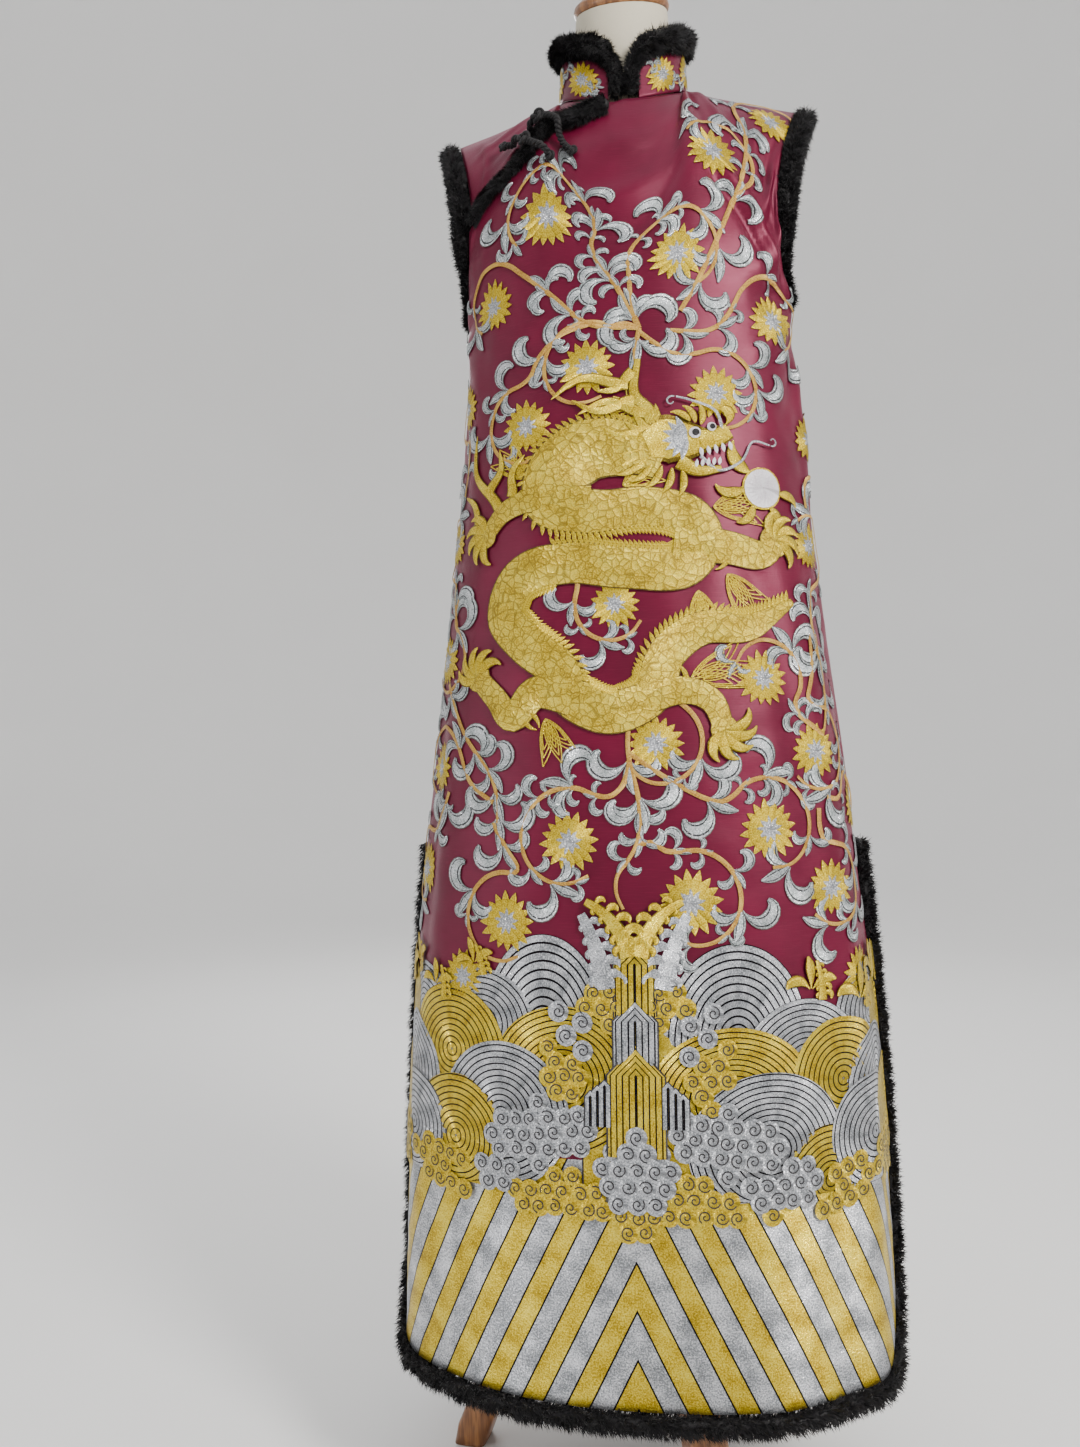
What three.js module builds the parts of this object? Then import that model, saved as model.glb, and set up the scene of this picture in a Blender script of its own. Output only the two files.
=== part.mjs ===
import * as THREE from 'three';
import { mergeVertices } from 'three/addons/utils/BufferGeometryUtils.js';

// A long sleeveless padded cheongsam with fur trim, worn by a limbless dress form on a
// wooden tripod stand. Millimetres, +Z up, floor at z = 0. The front faces -Y and +X is the
// wearer's left. Each cloth piece is a thin wall made from one shared garment surface.

// Cloth
const WALL = 2.4;
const SEAM_HALF = 0.2;
const HEM_Z = 160;
const ARMPIT_Z = 1205;
const SLIT_TOP_Z = 690;
const SLIT_START = 18;
const CORNER_WIDE = 105;
const CORNER_HIGH = 85;
const ROUNDNESS = 2.3;

// Neckline, collar and shoulders
const NECK_RADIUS = 66;
const NECK_FRONT_Z = 1411;
const NECK_BACK_Z = 1456;
const NECK_TURN = 0.09;
const NECK_SHARE = 0.3;
const NECK_DIP = 5;
const SHOULDER_TIP = { x: 181, z: 1416 };
const SHOULDER_SWELL = 30;
const ARMHOLE_HOLD = 4;
const COLLAR_HEIGHT = 43;
const COLLAR_LEAN = 3;
const COLLAR_CORNER = 22;
const COLLAR_SEAT = 3.6;

// Fur strips
const EDGE_FUR = 10.5;
const EDGE_FUR_SEAT = 1.9;
const HEM_FUR_SEAT = -0.3;
const COLLAR_END_FUR = 7.5;
const COLLAR_TOP_FUR = 12;
const OPENING_FUR_WIDE = 21;
const OPENING_FUR_HIGH = 10;
const OPENING_FUR_SEAT = 0.8;
const TOUCH = 0.3;

// Underlap of the front opening
const LAP = 0.13;
const LAP_RISE = WALL + 3 * TOUCH;
const LAP_NEAR = 0.2;
const LAP_FAR = 0.42;
const LAP_PAST_MIDDLE = 0.14;

// Frog fastenings
const FROG_CORD = 5.6;
const FROGS = {
  frog_upper: { fromU: -0.5, fromTau: 0.605, toU: -0.105, toTau: 0.63, crossing: 0.5 },
  frog_lower: { fromU: -0.7, fromTau: 0.63, toU: -0.235, toTau: 0.475, crossing: 0.62 },
};

// Dress form and stand
const FORM_BOTTOM_Z = 780;
const FORM_NECK_RADIUS = 52;
const FORM_NECK_TOP_RADIUS = 49;
const FORM_NECK_TOP_Z = 1546;
const FORM_NECK_TILT = 0.35;
const FORM_EDGE = 0.93;
const FORM_SHOULDER_GAP = 1.1;
const FORM_NECK_INSET = 8;
const FORM_NECK_DROP = 4;
const CAP_HEIGHT = 26;
const CAP_LIP = 3;
const COLUMN_RADIUS = 17;
const HUB_RADIUS = 30;
const HUB_TOP_Z = 318;
const HUB_BOTTOM_Z = 205;
const LEG_WIDTH = 38;
const LEG_REACH = 213;
const FOOT_LENGTH = 34;
const FORM_DISC = 34;
const LEG_FIRST_ANGLE = -66.5;

// Half width and half depth of the closed body below the armpits
const BODY = [
  { z: 160, wide: 249, deep: 190 },
  { z: 300, wide: 245, deep: 183 },
  { z: 450, wide: 238, deep: 174 },
  { z: 600, wide: 227, deep: 161 },
  { z: 750, wide: 211, deep: 146 },
  { z: 900, wide: 193, deep: 130 },
  { z: 1050, wide: 178, deep: 116 },
  { z: 1150, wide: 171, deep: 108 },
  { z: 1205, wide: 167, deep: 104 },
];

// The front and back edges of an armhole, from the armpit to the shoulder tip
const ARMHOLE = [
  { t: 0, out: 167, fore: 0, aft: 0, z: 1205 },
  { t: 0.04, out: 166, fore: 17, aft: 17, z: 1210 },
  { t: 0.08, out: 163, fore: 31, aft: 30, z: 1222 },
  { t: 0.13, out: 160, fore: 40, aft: 39, z: 1238 },
  { t: 0.28, out: 157, fore: 48, aft: 46, z: 1278 },
  { t: 0.45, out: 158, fore: 45, aft: 44, z: 1321 },
  { t: 0.62, out: 164, fore: 37, aft: 37, z: 1360 },
  { t: 0.82, out: 174, fore: 19, aft: 19, z: 1396 },
  { t: 1, out: 181, fore: 0, aft: 0, z: 1416 },
];

// The slanting edge of the front, from the neck to the wearer's right armpit
const OPENING = [
  { u: -1, tau: 0.36 },
  { u: -0.82, tau: 0.4 },
  { u: -0.7, tau: 0.43 },
  { u: -0.56, tau: 0.475 },
  { u: -0.42, tau: 0.53 },
  { u: -0.3, tau: 0.61 },
  { u: -0.2, tau: 0.7 },
  { u: -0.11, tau: 0.82 },
  { u: -0.04, tau: 0.95 },
  { u: 0, tau: 1 },
];

// Long soft folds of the skirt: place across, drift towards the hem, half width, height
const FOLDS = [
  { face: -1, at: 0.63, drift: 0.05, width: 0.1, high: 8, top: 1050 },
  { face: -1, at: -0.6, drift: -0.05, width: 0.13, high: 6, top: 930 },
  { face: -1, at: 0.3, drift: 0.04, width: 0.12, high: 4, top: 700 },
  { face: 1, at: -0.62, drift: -0.04, width: 0.11, high: 8, top: 1000 },
  { face: 1, at: -0.18, drift: -0.03, width: 0.12, high: 6, top: 860 },
  { face: 1, at: 0.22, drift: 0.03, width: 0.11, high: 7, top: 950 },
  { face: 1, at: 0.64, drift: 0.05, width: 0.12, high: 6, top: 900 },
];

// Half width and half depth of the dress form below the armpits
const FORM = [
  { z: 780, wide: 148, deep: 100 },
  { z: 860, wide: 154, deep: 103 },
  { z: 950, wide: 140, deep: 93 },
  { z: 1035, wide: 121, deep: 80 },
  { z: 1120, wide: 134, deep: 88 },
  { z: 1205, wide: 141, deep: 90 },
];

const ACROSS = [0, 0.06, 0.12, 0.18, 0.24, 0.3, 0.38, 0.47, 0.56, 0.65, 0.74, 0.82, 0.89, 0.95, 1];
const UPPER_ROWS = [0.04, 0.09, 0.15, 0.25, 0.37, 0.5, 0.63, 0.76, 0.88, 1];
const FRONT = -1;
const BACK = 1;

const satin = { color: 0x5f1226, roughness: 0.45, metalness: 0 };
const fur = { color: 0x0c0b0c, roughness: 0.95, metalness: 0 };
const cord = { color: 0x0f0d0e, roughness: 0.8, metalness: 0 };
const formCloth = { color: 0xcfc7b4, roughness: 0.8, metalness: 0 };
const wood = { color: 0x8a5a2c, roughness: 0.5, metalness: 0 };

function clamp(value, low, high) {
  return Math.min(Math.max(value, low), high);
}

function ease(from, to, value) {
  const t = clamp((value - from) / (to - from), 0, 1);
  return t * t * (3 - 2 * t);
}

function hermite(a, b, slopeA, slopeB, t) {
  const t2 = t * t;
  const t3 = t2 * t;
  return a * (2 * t3 - 3 * t2 + 1) + slopeA * (t3 - 2 * t2 + t)
    + b * (3 * t2 - 2 * t3) + slopeB * (t3 - t2);
}

// One column of a table as a smooth function of its first column
function lookUp(table, key, column, at) {
  const slope = (i) => {
    const before = table[Math.max(i - 1, 0)];
    const after = table[Math.min(i + 1, table.length - 1)];
    return (after[column] - before[column]) / (after[key] - before[key]);
  };
  let i = 0;
  while (i < table.length - 2 && table[i + 1][key] < at) i += 1;
  const span = table[i + 1][key] - table[i][key];
  const t = clamp((at - table[i][key]) / span, 0, 1);
  return hermite(table[i][column], table[i + 1][column], slope(i) * span, slope(i + 1) * span, t);
}

// A point of a rounded section: u runs from -1 at the wearer's right side to 1 at the left
function sectionPoint(table, face, u, z) {
  const turn = u * Math.PI / 2;
  const power = 2 / ROUNDNESS;
  const wide = lookUp(table, 'z', 'wide', z);
  const deep = lookUp(table, 'z', 'deep', z);
  const x = wide * Math.sign(u) * Math.abs(Math.sin(turn)) ** power;
  const y = face * deep * Math.abs(Math.cos(turn)) ** power;
  return new THREE.Vector3(x, y, z);
}

function foldHeight(face, u, z) {
  let height = 0;
  for (const fold of FOLDS.filter((row) => row.face === face)) {
    const down = clamp((fold.top - z) / (fold.top - HEM_Z), 0, 1);
    const offset = (u - fold.at - fold.drift * down) / fold.width;
    height += fold.high * Math.exp(-offset * offset) * ease(0, 0.75, down);
  }
  return height;
}

function bodyPoint(face, u, z) {
  const point = sectionPoint(BODY, face, u, z);
  const wide = lookUp(BODY, 'z', 'wide', z);
  const deep = lookUp(BODY, 'z', 'deep', z);
  const out = new THREE.Vector3(point.x / wide ** 2, point.y / deep ** 2, 0).normalize();
  return point.addScaledVector(out, foldHeight(face, u, z));
}

// The neckline as a loop, with the angle 0 at the front and half a turn at the back
function neckPoint(angle, radius = NECK_RADIUS) {
  const rise = 1 - Math.abs(Math.cos(angle / 2)) ** NECK_DIP;
  const z = NECK_FRONT_Z + (NECK_BACK_Z - NECK_FRONT_Z) * rise;
  const turned = angle + NECK_TURN * Math.max(Math.cos(angle), 0);
  return new THREE.Vector3(radius * Math.sin(turned), -radius * Math.cos(turned), z);
}

// The top edge of a panel: the neckline in the middle and the shoulder seams beside it
function topPoint(face, u, radius = NECK_RADIUS) {
  const side = Math.abs(u);
  const sign = u < 0 ? -1 : 1;
  const quarter = Math.PI / 2;
  const turned = Math.sin(Math.min(side / NECK_SHARE, 1) * quarter) * quarter;
  const angle = face === FRONT ? turned : Math.PI - turned;
  const point = neckPoint(u < 0 ? -angle : angle, radius);
  point.x *= sign;
  const past = clamp((side - NECK_SHARE) / (1 - NECK_SHARE), 0, 1);
  const along = 1 - Math.cos(past * quarter);
  point.x += (SHOULDER_TIP.x - point.x) * along;
  point.z += (SHOULDER_TIP.z - point.z) * along;
  point.x *= sign;
  return point;
}

// From the chest up and over to the top edge, before the armhole is shaped
function chestToTop(face, u, tau, chest, top) {
  const toShoulder = ease(NECK_SHARE * 0.1, NECK_SHARE, Math.abs(u));
  const rise = top.z - chest.z;
  const depth = Math.abs(top.y - chest.y) + SHOULDER_SWELL;
  const endY = -face * depth * (1 + 0.8 * toShoulder);
  const endZ = rise * (0.95 - 0.8 * toShoulder);
  const startZ = rise * (1 + 0.25 * toShoulder);
  return new THREE.Vector3(
    hermite(chest.x, top.x, -0.05 * chest.x, -0.1 * chest.x, tau),
    hermite(chest.y, top.y, -0.1 * chest.y, endY, tau),
    hermite(chest.z, top.z, startZ, endZ, tau),
  );
}

function armholePull(face, tau) {
  const plain = chestToTop(face, 1, tau, bodyPoint(face, 1, ARMPIT_Z), topPoint(face, 1));
  const depth = lookUp(ARMHOLE, 't', face === FRONT ? 'fore' : 'aft', tau);
  const out = lookUp(ARMHOLE, 't', 'out', tau);
  const z = lookUp(ARMHOLE, 't', 'z', tau);
  return new THREE.Vector3(out - plain.x, face * depth - plain.y, z - plain.z);
}

function withArmhole(point, face, u, tau) {
  const pull = armholePull(face, tau);
  const share = Math.abs(u) ** ARMHOLE_HOLD;
  pull.x *= Math.sign(u);
  return point.addScaledVector(pull, share);
}

// The garment surface: w runs from 0 at the hem to 1 at the armpit and 2 at the shoulder
function clothPoint(face, u, w) {
  let point;
  if (w <= 1) {
    point = bodyPoint(face, u, HEM_Z + (ARMPIT_Z - HEM_Z) * w);
  } else {
    const chest = bodyPoint(face, u, ARMPIT_Z);
    point = withArmhole(chestToTop(face, u, w - 1, chest, topPoint(face, u)), face, u, w - 1);
  }
  point.y += face * SEAM_HALF;
  return point;
}

function clothNormal(face, u, w) {
  const step = 0.004;
  const a = clothPoint(face, clamp(u - step, -1, 1), w);
  const b = clothPoint(face, clamp(u + step, -1, 1), w);
  const c = clothPoint(face, u, clamp(w - step, 0, 2));
  const d = clothPoint(face, u, clamp(w + step, 0, 2));
  const normal = new THREE.Vector3().crossVectors(b.sub(a), d.sub(c)).normalize();
  if (face === BACK) normal.negate();
  return normal;
}

function raisedPoint(face, u, w, height) {
  return clothPoint(face, u, w).addScaledVector(clothNormal(face, u, w), height);
}

function heightToW(z) {
  return (z - HEM_Z) / (ARMPIT_Z - HEM_Z);
}

// How far across a panel reaches: it stops short of the side where the slit's fur lies
function sideReach(z) {
  const gap = (2 * EDGE_FUR + 2 * TOUCH) * ease(SLIT_TOP_Z + SLIT_START, SLIT_TOP_Z - SLIT_START, z);
  const deep = lookUp(BODY, 'z', 'deep', z);
  return 2 / Math.PI * Math.acos((gap / deep) ** (ROUNDNESS / 2));
}

// The rounded lower corners lift the hem near the slits
function hemLift(u) {
  const point = sectionPoint(BODY, FRONT, u * sideReach(HEM_Z), HEM_Z);
  const corner = sectionPoint(BODY, FRONT, sideReach(HEM_Z), HEM_Z);
  const inset = 1 - Math.hypot(corner.x - Math.abs(point.x), corner.y - point.y) / CORNER_WIDE;
  if (inset <= 0) return 0;
  return CORNER_HIGH * (1 - Math.sqrt(Math.max(1 - inset ** 2, 0)));
}

// A panel's place for its grid: across from -1 to 1, lower rows up to the armpit
function lowerPlace(across, t) {
  const lift = hemLift(across);
  const z = HEM_Z + lift + (ARMPIT_Z - HEM_Z - lift) * t;
  return { u: across * sideReach(z), w: heightToW(z) };
}

function openingTau(u) {
  return u >= 0 ? 1 : lookUp(OPENING, 'u', 'tau', u);
}

function meshFrom(points, triangles) {
  const geometry = new THREE.BufferGeometry();
  const flat = points.flatMap((point) => [point.x, point.y, point.z]);
  geometry.setAttribute('position', new THREE.Float32BufferAttribute(flat, 3));
  geometry.setIndex(triangles);
  return tidy(geometry);
}

// Joins equal points, drops the triangles that this flattens and keeps the faces outward
function tidy(geometry) {
  const joined = mergeVertices(geometry, 1e-3);
  const index = joined.index.array;
  const kept = [];
  for (let i = 0; i < index.length; i += 3) {
    const [a, b, c] = [index[i], index[i + 1], index[i + 2]];
    if (a !== b && b !== c && a !== c) kept.push(a, b, c);
  }
  joined.setIndex(volumeOf(joined, kept) < 0 ? kept.reverse() : kept);
  joined.computeVertexNormals();
  return joined;
}

function volumeOf(geometry, index) {
  const at = (i) => new THREE.Vector3().fromBufferAttribute(geometry.getAttribute('position'), i);
  let volume = 0;
  for (let i = 0; i < index.length; i += 3) {
    volume += at(index[i]).dot(at(index[i + 1]).cross(at(index[i + 2]))) / 6;
  }
  return volume;
}

// Two quads' worth of triangles for each cell between rows of points
function gridTriangles(rows, columns, start, flip, closed = false) {
  const triangles = [];
  const last = closed ? columns : columns - 1;
  for (let r = 0; r < rows - 1; r += 1) {
    for (let c = 0; c < last; c += 1) {
      const a = start + r * columns + c;
      const b = start + r * columns + (c + 1) % columns;
      const cells = [a, b, b + columns, a, b + columns, a + columns];
      triangles.push(...(flip ? cells.reverse() : cells));
    }
  }
  return triangles;
}

// A closed wall between an outer and an inner grid of the same size
function wallFrom(outer, inner) {
  const rows = outer.length;
  const columns = outer[0].length;
  const count = rows * columns;
  const points = [...outer.flat(), ...inner.flat()];
  const triangles = [
    ...gridTriangles(rows, columns, 0, false),
    ...gridTriangles(rows, columns, count, true),
  ];
  const edge = [];
  for (let c = 0; c < columns; c += 1) edge.push(c);
  for (let r = 1; r < rows; r += 1) edge.push(r * columns + columns - 1);
  for (let c = columns - 2; c >= 0; c -= 1) edge.push((rows - 1) * columns + c);
  for (let r = rows - 2; r > 0; r -= 1) edge.push(r * columns);
  edge.forEach((a, i) => {
    const b = edge[(i + 1) % edge.length];
    triangles.push(a, count + a, count + b, a, count + b, b);
  });
  return meshFrom(points, triangles);
}

function panelWall(face, places, rise = () => 0) {
  const lay = (extra) => places.map((row) => row.map(({ u, w }) => (
    raisedPoint(face, u, w, extra + rise(u, w)))));
  return wallFrom(lay(WALL), lay(0));
}

// A tube or band: one section for each path point, laid out by its normal and side
function sweep(path, section, closed = false) {
  const rings = path.map(({ at, normal, side, scale = 1 }) => section.map(([across, up]) => (
    at.clone().addScaledVector(side, across * scale).addScaledVector(normal, up * scale))));
  const count = section.length;
  const points = rings.flat();
  const triangles = gridTriangles(rings.length, count, 0, false, true);
  if (closed) {
    const start = (rings.length - 1) * count;
    for (let c = 0; c < count; c += 1) {
      const next = (c + 1) % count;
      triangles.push(start + c, start + next, next, start + c, next, c);
    }
  } else {
    for (let c = 1; c < count - 1; c += 1) {
      triangles.push(0, c + 1, c);
      const end = (rings.length - 1) * count;
      triangles.push(end, end + c, end + c + 1);
    }
  }
  return meshFrom(points, triangles);
}

function roundSection(radius, sides) {
  return Array.from({ length: sides }, (_, i) => {
    const angle = 2 * Math.PI * (i + 0.5) / sides;
    return [radius * Math.cos(angle), radius * Math.sin(angle)];
  });
}

// Gives each path point a side vector square to the path and to its normal
function withSides(points, closed = false) {
  const count = points.length;
  return points.map((point, i) => {
    const before = points[closed ? (i + count - 1) % count : Math.max(i - 1, 0)].at;
    const after = points[closed ? (i + 1) % count : Math.min(i + 1, count - 1)].at;
    const ahead = after.clone().sub(before).normalize();
    const side = new THREE.Vector3().crossVectors(ahead, point.normal).normalize();
    const normal = new THREE.Vector3().crossVectors(side, ahead).normalize();
    return { ...point, side, normal };
  });
}

function named(name, geometry, finish) {
  const mesh = new THREE.Mesh(geometry, new THREE.MeshStandardMaterial(finish));
  mesh.name = name;
  return mesh;
}

const symmetricAcross = [...ACROSS.slice(1).reverse().map((u) => -u), ...ACROSS];

function evenSteps(count, from = 0, to = 1) {
  return Array.from({ length: count + 1 }, (_, i) => from + (to - from) * i / count);
}

function frontPanel() {
  const lower = evenSteps(19).map((t) => symmetricAcross.map((across) => lowerPlace(across, t)));
  const upper = UPPER_ROWS.map((t) => (
    symmetricAcross.map((u) => ({ u, w: 1 + t * openingTau(u) }))));
  return panelWall(FRONT, [...lower, ...upper], overlapRise);
}

function backPanel() {
  const lower = evenSteps(18).map((t) => symmetricAcross.map((across) => lowerPlace(across, t)));
  const upper = UPPER_ROWS.map((t) => symmetricAcross.map((u) => ({ u, w: 1 + t })));
  return panelWall(BACK, [...lower, ...upper]);
}

// Along the opening the front lies over the yoke, and away from it the front comes level
function overlapRise(u, w) {
  const bodyShare = (ARMPIT_Z - HEM_Z) / (SHOULDER_TIP.z - ARMPIT_Z);
  const below = openingTau(u) + (1 - w) * (w < 1 ? bodyShare : 1);
  return LAP_RISE * ease(LAP_FAR, LAP_NEAR, below) * ease(LAP_PAST_MIDDLE, 0, u);
}

function frontYoke() {
  const columns = ACROSS.slice().reverse().map((u) => -u);
  const places = evenSteps(9).map((t) => columns.map((u) => {
    const from = Math.max(openingTau(u) - LAP, 0.02);
    return { u, w: 1 + from + (1 - from) * t };
  }));
  return panelWall(FRONT, places);
}

// The collar's place by the distance round from the front and the height on it
function collarPoint(angle, height, depth) {
  const radius = NECK_RADIUS + depth - COLLAR_LEAN * height / COLLAR_HEIGHT;
  const point = neckPoint(angle, radius);
  point.z += height + COLLAR_SEAT;
  return point;
}

// The collar's outline: its ends leave room for the fur and its top corners are round
function collarOutline(steps) {
  const endGap = 2 * COLLAR_END_FUR + 2 * TOUCH;
  const ends = evenSteps(steps, 0, Math.PI / 2).map((turn) => ({
    arc: endGap + COLLAR_CORNER * (1 - Math.cos(turn)),
    high: COLLAR_HEIGHT - COLLAR_CORNER + COLLAR_CORNER * Math.sin(turn),
  }));
  return ends.map(({ arc, high }) => ({ angle: arc / NECK_RADIUS, high }));
}

function standCollar() {
  const start = collarOutline(7);
  const last = start[start.length - 1].angle;
  const middle = evenSteps(20, last, 2 * Math.PI - last).slice(1, -1)
    .map((angle) => ({ angle, high: COLLAR_HEIGHT }));
  const end = start.map(({ angle, high }) => ({ angle: 2 * Math.PI - angle, high })).reverse();
  const columns = [...start, ...middle, ...end];
  const lay = (depth) => evenSteps(3).map((t) => (
    columns.map(({ angle, high }) => collarPoint(angle, high * t, depth))));
  return wallFrom(lay(WALL), lay(0));
}

// Fur on the collar's edge, thin on its two front ends and full along its top
function furCollar() {
  const centre = COLLAR_CORNER + 2 * COLLAR_END_FUR + 2 * TOUCH;
  const low = centre - COLLAR_CORNER - COLLAR_END_FUR - TOUCH;
  const rim = [{ arc: low, high: COLLAR_END_FUR, radius: COLLAR_END_FUR }];
  for (const turn of evenSteps(8, 0, Math.PI / 2)) {
    const radius = COLLAR_END_FUR + (COLLAR_TOP_FUR - COLLAR_END_FUR) * ease(0.2, 1.5, turn);
    const reach = COLLAR_CORNER + radius + 4 * TOUCH * Math.sin(turn) + TOUCH;
    rim.push({
      arc: centre - reach * Math.cos(turn),
      high: COLLAR_HEIGHT - COLLAR_CORNER + reach * Math.sin(turn),
      radius,
    });
  }
  const start = rim.map(({ arc, high, radius }) => ({ angle: arc / NECK_RADIUS, high, radius }));
  const last = start[start.length - 1].angle;
  const middle = evenSteps(24, last, 2 * Math.PI - last).slice(1, -1)
    .map((angle) => ({ ...start[start.length - 1], angle }));
  const end = start.map((row) => ({ ...row, angle: 2 * Math.PI - row.angle })).reverse();
  const path = [...start, ...middle, ...end].map(({ angle, high, radius }) => ({
    at: collarPoint(angle, high, WALL / 2 + (radius - COLLAR_END_FUR) * 0.7),
    normal: new THREE.Vector3(Math.sin(angle), -Math.cos(angle), 0),
    scale: radius,
  }));
  return sweep(withSides(path), roundSection(1, 8));
}

function openingFurScale(u) {
  return 1 - 0.25 * ease(-0.15, -0.6, u);
}

// The strip over the front's slanting edge, narrower towards the armpit
function furOpening() {
  const arch = [[-1, 0.1], [0, 0], [1, 0.1], [0.86, 0.6], [0.4, 1], [-0.4, 1], [-0.86, 0.6]];
  const section = arch.map(([across, up]) => [across * OPENING_FUR_WIDE / 2, up * OPENING_FUR_HIGH]);
  const path = evenSteps(24, -0.05, -0.92).map((u) => ({
    at: raisedPoint(FRONT, u, 1 + openingTau(u), LAP_RISE + WALL + OPENING_FUR_SEAT),
    normal: clothNormal(FRONT, u, 1 + openingTau(u)),
    scale: openingFurScale(u),
  }));
  return sweep(withSides(path), section);
}

// A point beside a panel's edge, out past it in line with the cloth just inside
function besideEdge(edge, next, normal, inside, seat) {
  const ahead = next.clone().sub(edge).normalize();
  const off = edge.clone().sub(inside);
  off.addScaledVector(ahead, -off.dot(ahead)).normalize();
  const at = edge.clone().addScaledVector(off, EDGE_FUR + seat).addScaledVector(normal, WALL / 2);
  return { at, normal };
}

function armholeEdge(face, side, tau) {
  const atPit = 1 - ease(0, 0.15, tau);
  const edge = clothPoint(face, side, 1 + tau);
  const next = clothPoint(face, side, 1 + tau + (tau < 0.5 ? 0.01 : -0.01));
  const inside = clothPoint(face, side * (0.9 + 0.08 * atPit), 1 + tau - 0.03 * atPit);
  const normal = clothNormal(face, side * 0.97, 1 + tau);
  const lift = face === FRONT ? 1.3 * overlapRise(side, 1 + tau) * ease(1, 0.5, tau) : 0;
  const place = besideEdge(edge, next, normal, inside, EDGE_FUR_SEAT + 0.3 * lift);
  place.at.addScaledVector(normal, lift);
  return place;
}

function furArmhole(side) {
  const taus = [0.02, 0.05, 0.09, 0.14, ...evenSteps(9, 0.22, 0.97)];
  const front = taus.map((tau) => armholeEdge(FRONT, side, tau));
  const back = taus.slice().reverse().map((tau) => armholeEdge(BACK, side, tau));
  return sweep(withSides([...front, ...back], true), roundSection(EDGE_FUR, 7), true);
}

// Down one slit, round its corner, along the hem and up the other slit
function furHem(face) {
  const slit = evenSteps(12, SLIT_TOP_Z - 40, HEM_Z + CORNER_HIGH);
  const hem = evenSteps(30, -1, 1).slice(1, -1).map((t) => Math.sin(t * Math.PI / 2));
  const edges = [
    ...slit.map((z) => ({ u: -sideReach(z), w: heightToW(z), away: [0.05, 0] })),
    ...hem.map((across) => ({ ...lowerPlace(across, 0), away: [0, 0.03] })),
    ...slit.slice().reverse().map((z) => ({ u: sideReach(z), w: heightToW(z), away: [-0.05, 0] })),
  ];
  const points = edges.map(({ u, w }) => clothPoint(face, u, w));
  const path = edges.map(({ u, w, away }, i) => {
    const next = points[Math.min(i + 1, points.length - 1)];
    const before = points[Math.max(i - 1, 0)];
    const ahead = points[i].clone().add(next).sub(before);
    const inside = clothPoint(face, u * 0.9 + away[0], w + 0.06);
    return besideEdge(points[i], ahead, clothNormal(face, u, w), inside, HEM_FUR_SEAT);
  });
  return sweep(withSides(path), roundSection(EDGE_FUR, 6));
}

// A straight bar of cord across the opening, over the fur and down to the cloth
function frog({ fromU, fromTau, toU, toTau, crossing }) {
  const path = evenSteps(12).map((t) => {
    const u = fromU + (toU - fromU) * t;
    const w = 1 + fromTau + (toTau - fromTau) * t;
    const past = Math.abs(t - crossing);
    const foot = FROG_CORD / 2 + WALL + TOUCH + LAP_RISE;
    const over = OPENING_FUR_HIGH * openingFurScale(u) + OPENING_FUR_SEAT + 2 * TOUCH;
    const height = foot + over * ease(0.42, 0.24, past);
    return { at: raisedPoint(FRONT, u, w, height), normal: clothNormal(FRONT, u, w) };
  });
  return sweep(withSides(path), roundSection(FROG_CORD / 2, 8));
}

// The dress form repeats the garment's chest and shoulders a little smaller
function formPoint(face, u, w) {
  if (w <= 1) return sectionPoint(FORM, face, u, FORM_BOTTOM_Z + (ARMPIT_Z - FORM_BOTTOM_Z) * w);
  const chest = sectionPoint(FORM, face, u, ARMPIT_Z);
  const top = topPoint(face, u, NECK_RADIUS - FORM_NECK_INSET);
  top.z -= FORM_SHOULDER_GAP + FORM_NECK_DROP * ease(0.75, NECK_SHARE, Math.abs(u));
  return withArmhole(chestToTop(face, u, w - 1, chest, top), face, u, w - 1);
}

function formTorso() {
  const columns = [...ACROSS.filter((u) => u < FORM_EDGE), FORM_EDGE];
  const span = [...columns.slice(1).reverse().map((u) => -u), ...columns];
  const rows = [...evenSteps(9), ...UPPER_ROWS.map((t) => 1 + t)];
  const loops = rows.map((w) => {
    const front = span.map((u) => formPoint(FRONT, u, w));
    const back = span.slice().reverse().map((u) => formPoint(BACK, u, w));
    const close = (a, b) => evenSteps(3).slice(1, -1).map((t) => a.clone().lerp(b, t));
    return [...front, ...close(front[front.length - 1], back[0]),
      ...back, ...close(back[back.length - 1], front[0])];
  });
  const count = loops[0].length;
  const points = loops.flat();
  const triangles = gridTriangles(loops.length, count, 0, false, true);
  points.push(new THREE.Vector3(0, 0, FORM_BOTTOM_Z));
  for (let c = 0; c < count; c += 1) triangles.push(points.length - 1, (c + 1) % count, c);
  addNeck(points, triangles, span.filter((u) => Math.abs(u) <= NECK_SHARE));
  return meshFrom(points, triangles);
}

// The plane of the neck's top leans down to the front
function neckTopZ(y) {
  return FORM_NECK_TOP_Z + FORM_NECK_TILT * y;
}

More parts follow.
